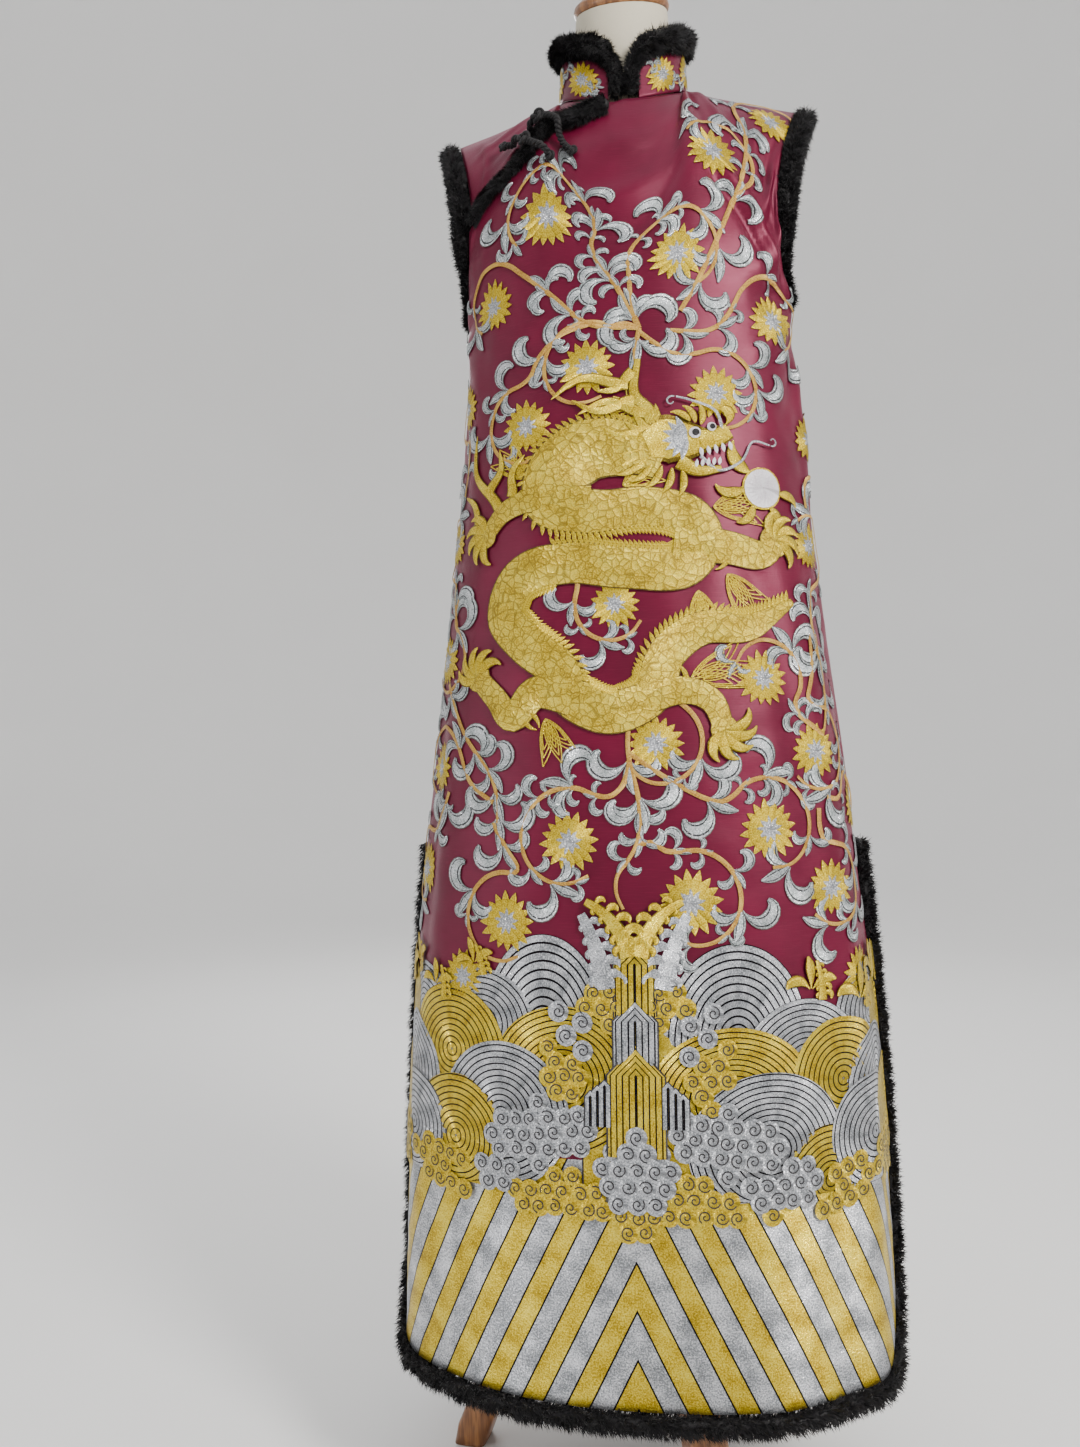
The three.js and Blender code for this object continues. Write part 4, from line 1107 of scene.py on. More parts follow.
def frog(name, start, end, crossing):
    """A bar of two twisted cords with a knot where it crosses the opening."""
    t = np.linspace(0, 1, FROG_STEPS)
    u, tau = start[0] + (end[0] - start[0]) * t, start[1] + (end[1] - start[1]) * t
    over = OPENING_FUR_HIGH * opening_fur_scale(u) + FROG_CLEAR
    foot = 2 * STRAND + WALL + TOUCH + LAP_RISE
    height = foot + over * ease(0.42, 0.24, np.abs(t - crossing))
    normal = cloth_normal(FRONT, u, 1 + tau)
    at = cloth_point(FRONT, u, 1 + tau) + normal * height[:, None]
    ahead, side, up = with_sides(at, normal)
    length = path_length(at)
    tubes = []
    for start_turn in (0, math.pi):
        turn = (length / TWIST_LENGTH * FULL_TURN + start_turn)[:, None]
        tubes.append(tube(at + (np.cos(turn) * side + np.sin(turn) * up) * STRAND, normal, STRAND, 8))
    at_knot, half_way = int(crossing * (FROG_STEPS - 1)), FROG_STEPS // 2
    basis = side[half_way], ahead[half_way], up[half_way]
    tubes.append(knot(at[at_knot] + normal[at_knot] * 0.002, KNOT_SIZE, basis))
    tubes += [knot(at[place], END_KNOT_SIZE, basis) for place in (2, -3)]
    points, faces, total = [], [], 0
    for tube_points, quads in tubes:
        points.append(tube_points)
        faces.append(triangles(quads) + total)
        total += len(tube_points)
    return mesh_object(name + "_cord", np.concatenate(points), np.concatenate(faces), [CORD])


def knot(middle, size, basis):
    """A trefoil knot of cord."""
    turn = np.linspace(0, FULL_TURN, 90, endpoint=False)
    ring = 1 + 0.35 * np.cos(3 * turn)
    loop = [np.cos(2 * turn) * ring, np.sin(2 * turn) * ring, 0.45 * np.sin(3 * turn)]
    path = middle + sum(c[:, None] * b for c, b in zip(loop, basis)) * size * 0.75
    _, ahead, up = basis
    return tube(path, np.broadcast_to(up + 0.3 * ahead, path.shape), size * 0.36, 8, True)


# How finely the dress form is made
FORM_LOWER_ROWS = 40
FORM_UPPER_ROWS = 46
FORM_COLUMNS = 63
FORM_SIDE_COLUMNS = 6
FORM_NECK_ROWS = 26


def form_point(face, u, w):
    """The dress form's surface, which lies a little inside the cloth."""
    u, w = alike(u, w)
    low = section_point(FORM, face, u, FORM_BOTTOM_Z + (ARMPIT_Z - FORM_BOTTOM_Z) * np.minimum(w, 1))
    tau = np.clip(w - 1, 0, 1)
    chest = section_point(FORM, face, u, ARMPIT_Z + 0 * u)
    top = top_point(face, u, NECK_RADIUS - FORM_NECK_INSET)
    top[..., 2] -= FORM_SHOULDER_GAP + FORM_NECK_DROP * ease(0.75, NECK_SHARE, np.abs(u))
    high = with_armhole(chest_to_top(face, u, tau, chest, top), face, u, tau)
    return np.where((w <= 1)[..., None], low, high)


def neck_top_z(y):
    """The neck's top slants."""
    return FORM_NECK_TOP_Z + FORM_NECK_TILT * y


def form_body(span):
    """The form from its bottom to the shoulders: closed loops over both faces and the sides."""
    low, high = np.linspace(0, 1, FORM_LOWER_ROWS), np.linspace(1, 2, FORM_UPPER_ROWS)
    w = np.concatenate([low, high[1:]])[:, None]
    front, back = form_point(FRONT, span, w), form_point(BACK, span[::-1], w)
    close = np.linspace(0, 1, FORM_SIDE_COLUMNS + 2)[1:-1, None]
    left = front[:, -1:] * (1 - close) + back[:, :1] * close
    right = back[:, -1:] * (1 - close) + front[:, :1] * close
    return np.concatenate([front, left, back, right], 1)


def form_neck(span):
    """Rings from the neck's foot up to its slanting top."""
    neck_u = span[np.abs(span) <= NECK_SHARE + 1e-9]
    rim = np.concatenate([form_point(FRONT, neck_u, 2.0), form_point(BACK, neck_u[1:-1][::-1], 2.0)])
    up = np.linspace(0, 1, FORM_NECK_ROWS)[:, None]
    inset, taper = ease(0, 0.28, up), np.clip((up - 0.3) / 0.7, 0, 1) ** 1.4
    neck = FORM_NECK_RADIUS + (FORM_NECK_TOP_RADIUS - FORM_NECK_RADIUS) * taper
    scale = 1 + (neck / np.hypot(rim[:, 0], rim[:, 1])[None, :] - 1) * inset
    z = rim[None, :, 2] + (neck_top_z(rim[None, :, 1] * scale) - rim[None, :, 2]) * ease(0, 1, up) ** 0.8
    return np.stack([rim[None, :, 0] * scale, rim[None, :, 1] * scale, z], -1)


def form_torso():
    """The limbless dress form with its neck."""
    span = np.linspace(-FORM_EDGE, FORM_EDGE, FORM_COLUMNS)
    span = np.sort(np.append(span, [-NECK_SHARE, NECK_SHARE]))
    loops, rings = form_body(span), form_neck(span)
    rows, columns = loops.shape[:2]
    neck_rows, around = rings.shape[:2]
    middles = [[0, 0, FORM_BOTTOM_Z], [0, 0, FORM_NECK_TOP_Z]]
    points = np.concatenate([loops.reshape(-1, 3), rings.reshape(-1, 3), middles])
    count = rows * columns
    faces = [grid_faces(rows, columns, True), grid_faces(neck_rows, around, True, count)]
    base = end_fan(0, columns, len(points) - 2)
    lid = end_fan(count + (neck_rows - 1) * around, around, len(points) - 1, upward=True)
    faces = np.concatenate([triangles(np.concatenate(faces)), base, lid])
    made = mesh_object("form_torso_cover", points, faces, [IVORY])
    joined(made)
    return made


def end_fan(first, columns, middle, upward=False):
    """Triangles that close a ring of points, which starts at first, round its middle."""
    one = np.arange(columns)
    after = (one + 1) % columns
    ring = (one, after) if upward else (after, one)
    return np.stack([np.full(columns, middle), first + ring[0], first + ring[1]], -1)


def joined(made):
    """Joins points that meet, so that the shading runs over the seams."""
    work = bmesh.new()
    work.from_mesh(made.data)
    bmesh.ops.remove_doubles(work, verts=work.verts, dist=1e-5)
    bmesh.ops.dissolve_degenerate(work, edges=work.edges, dist=1e-6)
    work.to_mesh(made.data)
    work.free()


EASED_CORNER = 0.0012


def turned(name, profile, sides=64):
    """A turned piece from the radius and height of its outline, with its corners eased."""
    outline = np.array(profile, float)
    eased = [outline[0]]
    for before, at, after in zip(outline[:-2], outline[1:-1], outline[2:]):
        cut = min(EASED_CORNER, 0.3 * np.linalg.norm(at - before), 0.3 * np.linalg.norm(after - at))
        first, last = at + unit(before - at) * cut, at + unit(after - at) * cut
        for t in (0, 0.33, 0.67, 1):
            eased.append(first * (1 - t) ** 2 + 2 * at * t * (1 - t) + last * t ** 2)
    eased.append(outline[-1])
    eased = np.array(eased)
    angle = np.linspace(0, FULL_TURN, sides, endpoint=False)
    x, y = eased[:, :1] * np.cos(angle), eased[:, :1] * np.sin(angle)
    points = np.stack([x, y, np.broadcast_to(eased[:, 1:], x.shape)], -1).reshape(-1, 3)
    made = mesh_object(name, points, grid_faces(len(eased), sides, True), [WOOD])
    joined(made)
    return made


def neck_cap():
    """The turned cap, which lies on the neck's slanting top."""
    r, high, lip = FORM_NECK_TOP_RADIUS, 0.026, 0.003
    made = turned("neck_cap_wood", [
        (0, 0), (r + lip / 2, 0), (r + lip, 0.004), (r + lip / 2, 0.009),
        (r - 0.002, 0.012), (r - 0.006, 0.015), (r - 0.014, 0.0195),
        (r - 0.026, high - 0.003), (r - 0.038, high - 0.0006), (0, high)])
    lifted = Matrix.Translation((0, 0, FORM_NECK_TOP_Z + 2 * TOUCH))
    made.data.transform(lifted @ Matrix.Rotation(math.atan(FORM_NECK_TILT), 4, "X"))
    return made


# Stand
HUB_RADIUS = 0.03
HUB_TOP_Z = 0.318
HUB_BOTTOM_Z = 0.205
COLUMN_RADIUS = 0.017
LEG_WIDTH = 0.038
LEG_REACH = 0.213
FOOT_LENGTH = 0.034
LEG_FIRST_ANGLE = -66.5
LEG_ROUNDNESS = 0.36
LEG_SIDES = 28


def stand_column():
    """The turned post with the hub that holds the legs."""
    top, disc = FORM_BOTTOM_Z - TOUCH, 0.034
    return turned("stand_column_wood", [
        (0, HUB_BOTTOM_Z - 0.022), (0.011, HUB_BOTTOM_Z - 0.016), (0.019, HUB_BOTTOM_Z),
        (HUB_RADIUS, HUB_BOTTOM_Z + 0.005), (HUB_RADIUS, HUB_TOP_Z), (0.024, HUB_TOP_Z + 0.012),
        (COLUMN_RADIUS, HUB_TOP_Z + 0.024), (COLUMN_RADIUS, top - 0.03), (disc, top - 0.012),
        (disc, top), (0, top)], 48)


def bezier(a, b, c, d, t):
    a, b, c, d = (np.array(point) for point in (a, b, c, d))
    return a * (1 - t) ** 3 + 3 * b * t * (1 - t) ** 2 + 3 * c * t * t * (1 - t) + d * t ** 3


def leg_lines():
    """The upper and the lower line of a leg as (distance out, height)."""
    root = HUB_RADIUS + TOUCH
    t = np.linspace(0, 1, 30)[:, None]
    upper = bezier((root, HUB_TOP_Z - 0.01), (0.112, HUB_TOP_Z - 0.012),
                   (0.15, 0.152), (LEG_REACH - 0.004, 0.02), t)
    lower = bezier((LEG_REACH - FOOT_LENGTH, 0), (0.15, 0.07),
                   (0.112, 0.205), (root, HUB_BOTTOM_Z + 0.012), t[::-1])
    return np.concatenate([upper, [[LEG_REACH, 0.0]]]), np.concatenate([lower, lower[-1:]])


def stand_leg(place, turn):
    """A curved leg with a rounded section, from the hub out to its foot."""
    upper, lower = leg_lines()
    angle = np.linspace(0, FULL_TURN, LEG_SIDES, endpoint=False) + math.pi / LEG_SIDES
    across = np.sign(np.cos(angle)) * np.abs(np.cos(angle)) ** LEG_ROUNDNESS * LEG_WIDTH / 2
    high = np.sign(np.sin(angle)) * np.abs(np.sin(angle)) ** LEG_ROUNDNESS
    middle, half = (upper + lower) / 2, (upper - lower) / 2
    r = middle[:, :1] + half[:, :1] * high
    z = np.maximum(middle[:, 1:] + half[:, 1:] * high, 0)
    c, s = math.cos(turn), math.sin(turn)
    side = np.broadcast_to(across, r.shape)
    points = np.stack([r * c - side * s, r * s + side * c, z], -1)
    rows, columns = r.shape
    ends = points[[0, -1]].mean(1)
    first_fan = end_fan(0, columns, rows * columns)
    last_fan = end_fan((rows - 1) * columns, columns, rows * columns + 1, upward=True)
    faces = np.concatenate([triangles(grid_faces(rows, columns, True)), first_fan, last_fan])
    points = np.concatenate([points.reshape(-1, 3), ends])
    return mesh_object("stand_leg_%s_wood" % place, points, faces, [WOOD])


# Stitching. Its drawings are on the flat pattern, in metres: x across the cloth, y up from the hem.
# A level is a small step of height, so that what is sewn over something else lies above it
CLEAR = 0.00035
LEVEL = 0.00014
DISC_HOLE = 0.02
DISC_STEP_ROUND = 0.006
DISC_STEP_OUT = 0.007
INKED_ROWS = (0.0056, 0.0014)


def scale_thread(name):
    """Gold thread laid in small scales."""
    finish = Finish(name, metallic=0.6)
    stitch, along, across = finish.uv("stitch")
    _, side, _ = finish.uv("edge")
    lay = along * 0.8 + across * 0.6
    # Painted glints and painted shade, as in the other metal threads
    colour, roughness, relief = thread_shades(finish, stitch, *GOLDS, lay)
    rim = finish.spots(stitch, 125.0, "DISTANCE_TO_EDGE")
    seam = finish.ramp(rim, 0.09, 0.02)
    colour = finish.mix(seam * 0.75, colour, GOLD_SHADE_AND_SEAM)
    colour = finish.mix((abs(side) > 0.94) * 0.85, colour, RIM)
    normal = finish.bump(relief + finish.ramp(rim, 0.0, 0.3) * 1.5, 0.0004, 0.8)
    return finish.set(base_color=colour, roughness=roughness, normal=normal)


THREADS = [
    metal_thread("gold_thread", GOLDS),
    metal_thread("silver_thread", SILVERS),
    metal_thread("silver_leaf_thread", LEAVES, ring=(0.56, 0.1), rim=0.88),
    metal_thread("vine_thread", VINES, metallic=0.35),
    metal_thread("gold_rows_thread", GOLDS, lines=INKED_ROWS),
    metal_thread("silver_rows_thread", SILVERS, lines=INKED_ROWS),
    scale_thread("gold_scale_thread"),
    metal_thread("bold_gold_thread", GOLDS, rim=0.8),
    metal_thread("ink_thread", INKS, metallic=0.0),
    metal_thread("pearl_thread", PEARLS, metallic=0.3),
]
GOLD_THREAD, SILVER_THREAD, LEAF_THREAD, VINE_THREAD, GOLD_ROWS = range(5)
SILVER_ROWS, SCALES, BOLD_GOLD, INK_THREAD, PEARL = range(5, 10)


def curve(points, step=0.004):
    """A smooth line through the points, sampled evenly."""
    p = np.array(points, float)
    p = np.concatenate([[2 * p[0] - p[1]], p, [2 * p[-1] - p[-2]]])
    t = np.linspace(0, 1, 20, endpoint=False)[:, None]
    parts = []
    for a, b, c, d in zip(p[:-3], p[1:-2], p[2:-1], p[3:]):
        parts.append(0.5 * (2 * b + (c - a) * t + (2 * a - 5 * b + 4 * c - d) * t ** 2
                            + (3 * b - a - 3 * c + d) * t ** 3))
    line = np.concatenate(parts + [p[-2:-1]])
    length = path_length(line)
    wanted = np.linspace(0, length[-1], max(int(length[-1] / step) + 1, 4))
    return np.stack([np.interp(wanted, length, line[:, 0]), np.interp(wanted, length, line[:, 1])], 1)


def polar(angle, distance=1.0):
    """The step of a given length in a given direction."""
    return np.stack([np.cos(angle) * distance, np.sin(angle) * distance], -1)


class Stitching:
    """Raised stitching gathered on the flat pattern and laid on the cloth as one mesh."""

    def __init__(self, mirror=1):
        self.mirror = mirror
        self.parts, self.count = [], 0

    def patch(self, flat, height, stitch, edge, thread, closed=False):
        """Adds a grid of points with the finish's two coordinates."""
        rows, columns = flat.shape[:2]
        faces = grid_faces(rows, columns, closed, self.count)
        self.count += rows * columns
        flat = flat * [self.mirror, 1]
        picked = np.full(len(faces), thread)
        self.parts.append([v.reshape(-1, v.shape[-1]) for v in (flat, height[..., None], stitch, edge)]
                          + [faces[:, ::self.mirror], picked])

    def ribbon(self, path, half, thread, level=1, thick=0.0007, columns=3):
        """Satin stitch along a path, highest in its middle."""
        path = np.asarray(path, float)
        ahead = unit(np.gradient(path, axis=0))
        side = np.stack([ahead[:, 1], -ahead[:, 0]], -1)
        half = np.broadcast_to(half, len(path))
        c = np.linspace(-1, 1, columns)
        flat = path[:, None] + side[:, None] * (c[None, :] * half[:, None])[..., None]
        height = level * LEVEL + thick * (1 - c ** 2)[None, :] * np.minimum(half / 0.002, 1)[:, None]
        length = path_length(path)
        stitch = np.stack([np.broadcast_to(length[:, None], height.shape), c[None, :] * half[:, None]], -1)
        edge = np.stack([np.broadcast_to(c, height.shape), stitch[..., 0]], -1)
        self.patch(flat[:, ::-1], height[:, ::-1], stitch[:, ::-1], edge[:, ::-1], thread)

    def disc(self, x, y, radius, thread, level, tall=1.0, thick=0.0009, floor=-1.0):
        """A low round mound, cut off level where it would reach below the floor."""
        steps = max(int(FULL_TURN * radius / DISC_STEP_ROUND), 12)
        angle = FULL_TURN * np.linspace(0, 1, steps, endpoint=False)
        reach = np.linspace(DISC_HOLE, 1, max(int(radius / DISC_STEP_OUT), 3))[:, None]
        flat = np.stack([x + np.cos(angle) * reach * radius, y + np.sin(angle) * reach * radius * tall], -1)
        flat[..., 1] = np.maximum(flat[..., 1], floor)
        height = level * LEVEL + thick * (1 - reach ** 4) + 0 * angle
        stitch = np.stack([angle * radius + 0 * reach, reach * radius + 0 * angle], -1)
        edge = np.stack([np.where(reach > 0.99, 0.99, reach * 0.9) + 0 * angle, 0 * reach + angle], -1)
        self.patch(flat[::-1], height[::-1], stitch[::-1], edge[::-1], thread, True)

    def lay(self, name, to_surface):
        """Makes the piece, with every point at its place and height on the cloth."""
        flat, height, stitch, edge = (np.concatenate([part[i] for part in self.parts]) for i in range(4))
        faces = np.concatenate([part[4] for part in self.parts])
        picked = np.concatenate([part[5] for part in self.parts])
        points = to_surface(flat[:, 0], flat[:, 1], height[:, 0] + WALL + CLEAR)
        made = mesh_object(name, points, faces, THREADS, {"stitch": stitch, "edge": edge}, picked)
        return place_piece(made, "satin")

    def petal(self, x, y, angle, near, far, half, thread, level, rows=6):
        """A straight petal, round at both ends."""
        t = np.linspace(0, 1, rows)
        path = np.array([x, y]) + polar(angle, 1)[None] * (near + (far - near) * t)[:, None]
        self.ribbon(path, half * np.sin(math.pi * np.clip(t, 0.03, 0.985) ** 0.8) ** 0.85, thread, level)

    def petals(self, x, y, count, turn, near, far, half, thread, level, rows=6):
        """A ring of petals."""
        for i, reach in enumerate(np.broadcast_to(far, count)):
            self.petal(x, y, turn + FULL_TURN * i / count, near, reach, half, thread, level, rows)

    def flower(self, x, y, size, turn=0.0):
        """A many petalled flower: two gold rings and a silver heart."""
        uneven = [size * (1 + 0.06 * math.sin(5 * i)) for i in range(16)]
        self.petals(x, y, 16, turn, 0.3 * size, uneven, 0.15 * size, GOLD_THREAD, 5)
        self.petals(x, y, 13, turn + 0.2, 0.16 * size, 0.72 * size, 0.13 * size, GOLD_THREAD, 7)
        self.disc(x, y, 0.3 * size, SILVER_THREAD, 9, thick=0.0005)
        self.petals(x, y, 9, turn + 0.1, 0.05 * size, 0.46 * size, 0.085 * size, SILVER_THREAD, 10, 5)

    def hook(self, x, y, angle, size, turn, width=0.15, thread=LEAF_THREAD, level=4, blunt=1.7, rows=12):
        """A leaf that curls over: it starts thin, swells past its middle and ends round."""
        t = np.linspace(0, 1, rows)
        heading = angle + turn * t ** 1.5
        path = np.array([x, y]) + np.cumsum(polar(heading, size / rows), 0)
        half = width * size * np.sin(math.pi * np.clip(t, 0.02, 0.97) ** blunt) ** 0.75
        self.ribbon(path, np.maximum(half, 0.0006), thread, level, 0.0009, 5)

    def spray(self, x, y, angle, size, hand):
        """A cluster of curled leaves on a vine."""
        self.hook(x, y, angle - 0.2 * hand, 1.4 * size, 3.5 * hand, 0.15, level=6, blunt=1.5, rows=15)
        self.hook(x, y, angle - 1.25 * hand, 1.0 * size, -3.0 * hand, 0.165, blunt=1.4, rows=13)
        self.hook(x, y, angle - 0.7 * hand, 0.85 * size, -0.5 * hand, 0.165, blunt=1.0, level=5)

    def vine(self, points):
        """A stem through the points, smoothed and thinner at its far end."""
        path = curve(points)
        for _ in range(6):
            path[1:-1] = path[1:-1] * 0.4 + (path[:-2] + path[2:]) * 0.3
        path = curve(path[::4])
        t = np.linspace(0, 1, len(path))
        self.ribbon(path, 0.0023 * (1 - 0.35 * t ** 3), VINE_THREAD, 8, 0.0007)
        return path

    def cloud(self, x, y, radius, thread, level, turn):
        """A round cloud curl with its inked spiral."""
        self.disc(x, y, radius, thread, level, thick=0.0006)
        t = np.linspace(0, 1, 20)
        path = np.array([x, y]) + polar(turn + 9.0 * t, radius * (0.08 + 0.6 * t))
        self.ribbon(path, 0.00062, INK_THREAD, level + 5, 0.0004)

    @staticmethod
    def sampled(corners):
        """Six even steps along each side of a line with corners."""
        share = np.linspace(0, 1, 7)[:-1, None]
        parts = [np.array(a) + (np.array(b) - a) * share for a, b in zip(corners[:-1], corners[1:])]
        return np.concatenate(parts + [[corners[-1]]])

    def gate(self, x, y, half, high, thread, level):
        """Nested pointed arches with an inked outline."""
        top, point = y + high, half * 1.05
        rim = [(x - half, y), (x - half, top), (x, top + point), (x + half, top), (x + half, y)]
        core = [(x, y), (x, top), (x, top), (x, top), (x, y)]
        rim, core = (self.sampled(line) for line in (rim, core))
        reach = np.linspace(0.01, 1, 5)[:, None, None]
        flat = core + (rim - core) * reach
        length = path_length(rim)
        across = reach[..., 0] * half + 0 * length
        stitch = np.stack([length + 0 * across, across], -1)
        edge = np.stack([0.9 * across / half, length + 0 * across], -1)
        height = level * LEVEL + 0.0008 * (1 - (across / half) ** 6)
        self.patch(flat[::-1], height[::-1], stitch[::-1], edge[::-1], thread)
        self.ribbon(rim, 0.0008, INK_THREAD, level + 1, 0.0002)


# Sprays of leaves, the largest first: size and the room they keep
SPRAYS = [(0.04, 0.01), (0.033, 0.008), (0.025, 0.006), (0.018, 0.004)]
# Flowers in their vines: middle, size, the ring's radius, start and sweep in degrees, and its stem
SCROLLS = [
    ((-0.078, 1.123), 0.03, 0.056, -25, 250, [(0.02, 1.004), (0.0, 1.045)]),
    ((0.058, 1.078), 0.028, 0.05, 200, -255, [(0.02, 1.004), (0.012, 1.03)]),
    ((0.192, 1.247), 0.025, 0.042, 215, -200, [(0.12, 1.12), (0.15, 1.18)]),
    ((0.112, 1.175), 0.026, 0.044, -70, 215, [(0.06, 1.02), (0.1, 1.09)]),
    ((-0.136, 1.05), 0.025, 0.04, 40, 210, [(0.02, 1.004), (-0.03, 1.012), (-0.07, 1.05)]),
    ((0.158, 1.018), 0.027, 0.046, 170, -240, [(0.05, 1.0), (0.09, 1.0)]),
    ((-0.032, 0.968), 0.028, 0.048, 55, 240, [(0.02, 1.004), (0.008, 1.012)]),
    ((0.093, 0.936), 0.027, 0.046, 125, -245, [(0.02, 1.0), (0.045, 0.98)]),
    ((-0.095, 0.915), 0.027, 0.046, 85, 230, [(-0.03, 1.012), (-0.06, 1.004), (-0.085, 0.98)]),
    ((-0.007, 0.729), 0.024, 0.04, 150, 200, [(-0.045, 0.78)]),
    ((0.134, 0.655), 0.027, 0.044, -40, 200, [(0.2, 0.6)]),
    ((0.03, 0.594), 0.027, 0.045, 60, -210, [(0.006, 0.63), (0.02, 0.65)]),
    ((0.19, 0.585), 0.026, 0.046, 100, -240, [(0.19, 0.7), (0.19, 0.66)]),
    ((-0.052, 0.503), 0.028, 0.052, 50, 250, [(0.006, 0.585), (0.0, 0.555)]),
    ((0.135, 0.512), 0.028, 0.05, 150, -250, [(0.006, 0.585), (0.05, 0.555)]),
    ((-0.115, 0.427), 0.028, 0.048, 70, 235, [(-0.13, 0.52), (-0.115, 0.495)]),
    ((0.06, 0.446), 0.03, 0.05, 115, -235, [(0.012, 0.5), (0.026, 0.505)]),
    ((-0.245, 0.47), 0.026, 0.044, 60, 240, [(-0.19, 0.55), (-0.2, 0.53)]),
    ((-0.215, 0.575), 0.026, 0.044, 20, 230, [(-0.13, 0.54), (-0.16, 0.56)]),
    ((0.2, 0.455), 0.026, 0.044, 100, -230, [(0.19, 0.53)]),
    ((0.262, 0.53), 0.024, 0.042, 170, -230, [(0.2, 0.54)]),
    ((-0.165, 0.372), 0.025, 0.0, 0, 0, []),
    ((0.235, 0.372), 0.025, 0.0, 0, 0, []),
    ((0.2, 0.79), 0.024, 0.042, -90, 220, [(0.2, 0.68), (0.195, 0.72)]),
    ((-0.205, 0.81), 0.024, 0.04, -80, -210, [(-0.19, 0.72), (-0.2, 0.75)]),
    ((-0.21, 0.685), 0.026, 0.04, 70, -220, [(-0.19, 0.75)]),
    ((0.215, 0.905), 0.024, 0.04, -100, 215, [(0.2, 0.83), (0.2, 0.85)]),
    ((-0.185, 0.955), 0.024, 0.038, -70, -200, [(-0.19, 0.86), (-0.18, 0.9)]),
]
# Vines that carry no flower of their own
STEMS = [
    [(0.02, 1.004), (0.014, 0.972), (0.02, 0.945)],
    [(0.006, 0.625), (0.004, 0.585), (0.014, 0.54), (0.012, 0.5), (-0.01, 0.465), (0.004, 0.43)],
    [(-0.2, 0.66), (-0.17, 0.61), (-0.13, 0.56), (-0.125, 0.52)],
    [(0.2, 0.7), (0.21, 0.64), (0.2, 0.6)],
]
# The back reaches higher and has two flowers more
BACK_TOP = [
    ((-0.03, 1.2), 0.028, 0.048, -40, 230, [(0.02, 1.06), (0.025, 1.13)]),
    ((-0.13, 1.21), 0.026, 0.044, -30, 230, [(-0.06, 1.08), (-0.08, 1.14)]),
]

# The dragon: its body runs from behind the head to the tail, with the half width at each point
DRAGON_BODY = [
    (0.04, 0.87, 0.02), (0.01, 0.882, 0.029), (-0.03, 0.884, 0.034), (-0.064, 0.864, 0.031),
    (-0.068, 0.836, 0.024), (-0.03, 0.822, 0.0205), (0.022, 0.824, 0.02), (0.062, 0.815, 0.021),
    (0.076, 0.789, 0.022), (0.054, 0.763, 0.021), (0.0, 0.765, 0.021), (-0.052, 0.772, 0.021),
    (-0.1, 0.761, 0.022), (-0.118, 0.726, 0.022), (-0.096, 0.696, 0.021), (-0.064, 0.67, 0.021),
    (-0.05, 0.642, 0.021), (-0.012, 0.624, 0.02), (0.026, 0.64, 0.019), (0.042, 0.68, 0.018),
    (0.076, 0.704, 0.016), (0.12, 0.704, 0.012), (0.168, 0.73, 0.004),
]
# Its legs from the hip to the paw: the path, half width, the toes' direction and the way the claws bend
DRAGON_LEGS = [
    ([(-0.03, 0.832), (-0.085, 0.838), (-0.118, 0.83), (-0.142, 0.808)], 0.016, 3.0, 1),
    ([(0.05, 0.788), (0.1, 0.782), (0.136, 0.776), (0.15, 0.79)], 0.021, 0.9, -1),
    ([(-0.035, 0.636), (-0.082, 0.646), (-0.108, 0.622), (-0.128, 0.642), (-0.15, 0.664)], 0.019, 2.3, -1),
    ([(0.0, 0.63), (0.052, 0.644), (0.082, 0.634), (0.094, 0.606)], 0.017, -1.2, 1),
]
# Flames round the body: x, y, direction and size
DRAGON_FINS = [
    (-0.096, 0.862, 2.3, 0.046), (0.088, 0.822, 0.1, 0.056), (0.1, 0.756, -0.9, 0.05),
    (-0.075, 0.62, -1.2, 0.046), (0.064, 0.656, 0.25, 0.06), (0.026, 0.912, 2.5, 0.04),
    (0.002, 0.846, 0.5, 0.042), (-0.03, 0.895, 1.2, 0.026), (0.072, 0.74, -1.4, 0.04),
]
# Locks of the mane: the share up the crest, size and how they droop
MANE = [(0.1, 0.055, 0.1), (0.3, 0.075, 0.0), (0.52, 0.07, 0.12), (0.72, 0.088, -0.15), (0.9, 0.045, -0.4)]
# Locks behind the first paw: x, y, direction and size
PAW_LOCKS = [(-0.125, 0.83, 1.9, 0.1), (-0.14, 0.85, 1.3, 0.05), (-0.112, 0.842, 1.2, 0.05),
             (-0.15, 0.81, 2.2, 0.06)]
HEAD = (0.046, 0.882)
PEARL_PLACE = (0.138, 0.842)


def dragon(work):
    """A court dragon in gold: scaled body with a spiny back, four clawed legs and a maned head."""
    rows = np.array(DRAGON_BODY)
    body = curve(rows[:, :2], 0.0045)
    near = np.linspace(0, len(rows) - 1, len(body))
    half = np.interp(near, np.arange(len(rows)), rows[:, 2])
    ahead = unit(np.gradient(body, axis=0))
    side = np.stack([-ahead[:, 1], ahead[:, 0]], -1)
    work.ribbon(body, half, SCALES, 12, 0.0016, 9)
    for i in range(2, len(body) - 1):
        out = -side[i] if i < 0.5 * len(body) else side[i]
        root = body[i] + out * half[i] * 0.9
        heading = math.atan2(*(ahead[i] * 0.6 + out)[::-1])
        work.petal(root[0], root[1], heading, -0.003, 0.0105, 0.0024, GOLD_THREAD, 11, rows=4)
    for x, y, angle, size in DRAGON_FINS:
        fin(work, x, y, angle, size)
    for leg in DRAGON_LEGS:
        dragon_leg(work, *leg)
    dragon_head(work, *HEAD)
    pearl(work, *PEARL_PLACE)


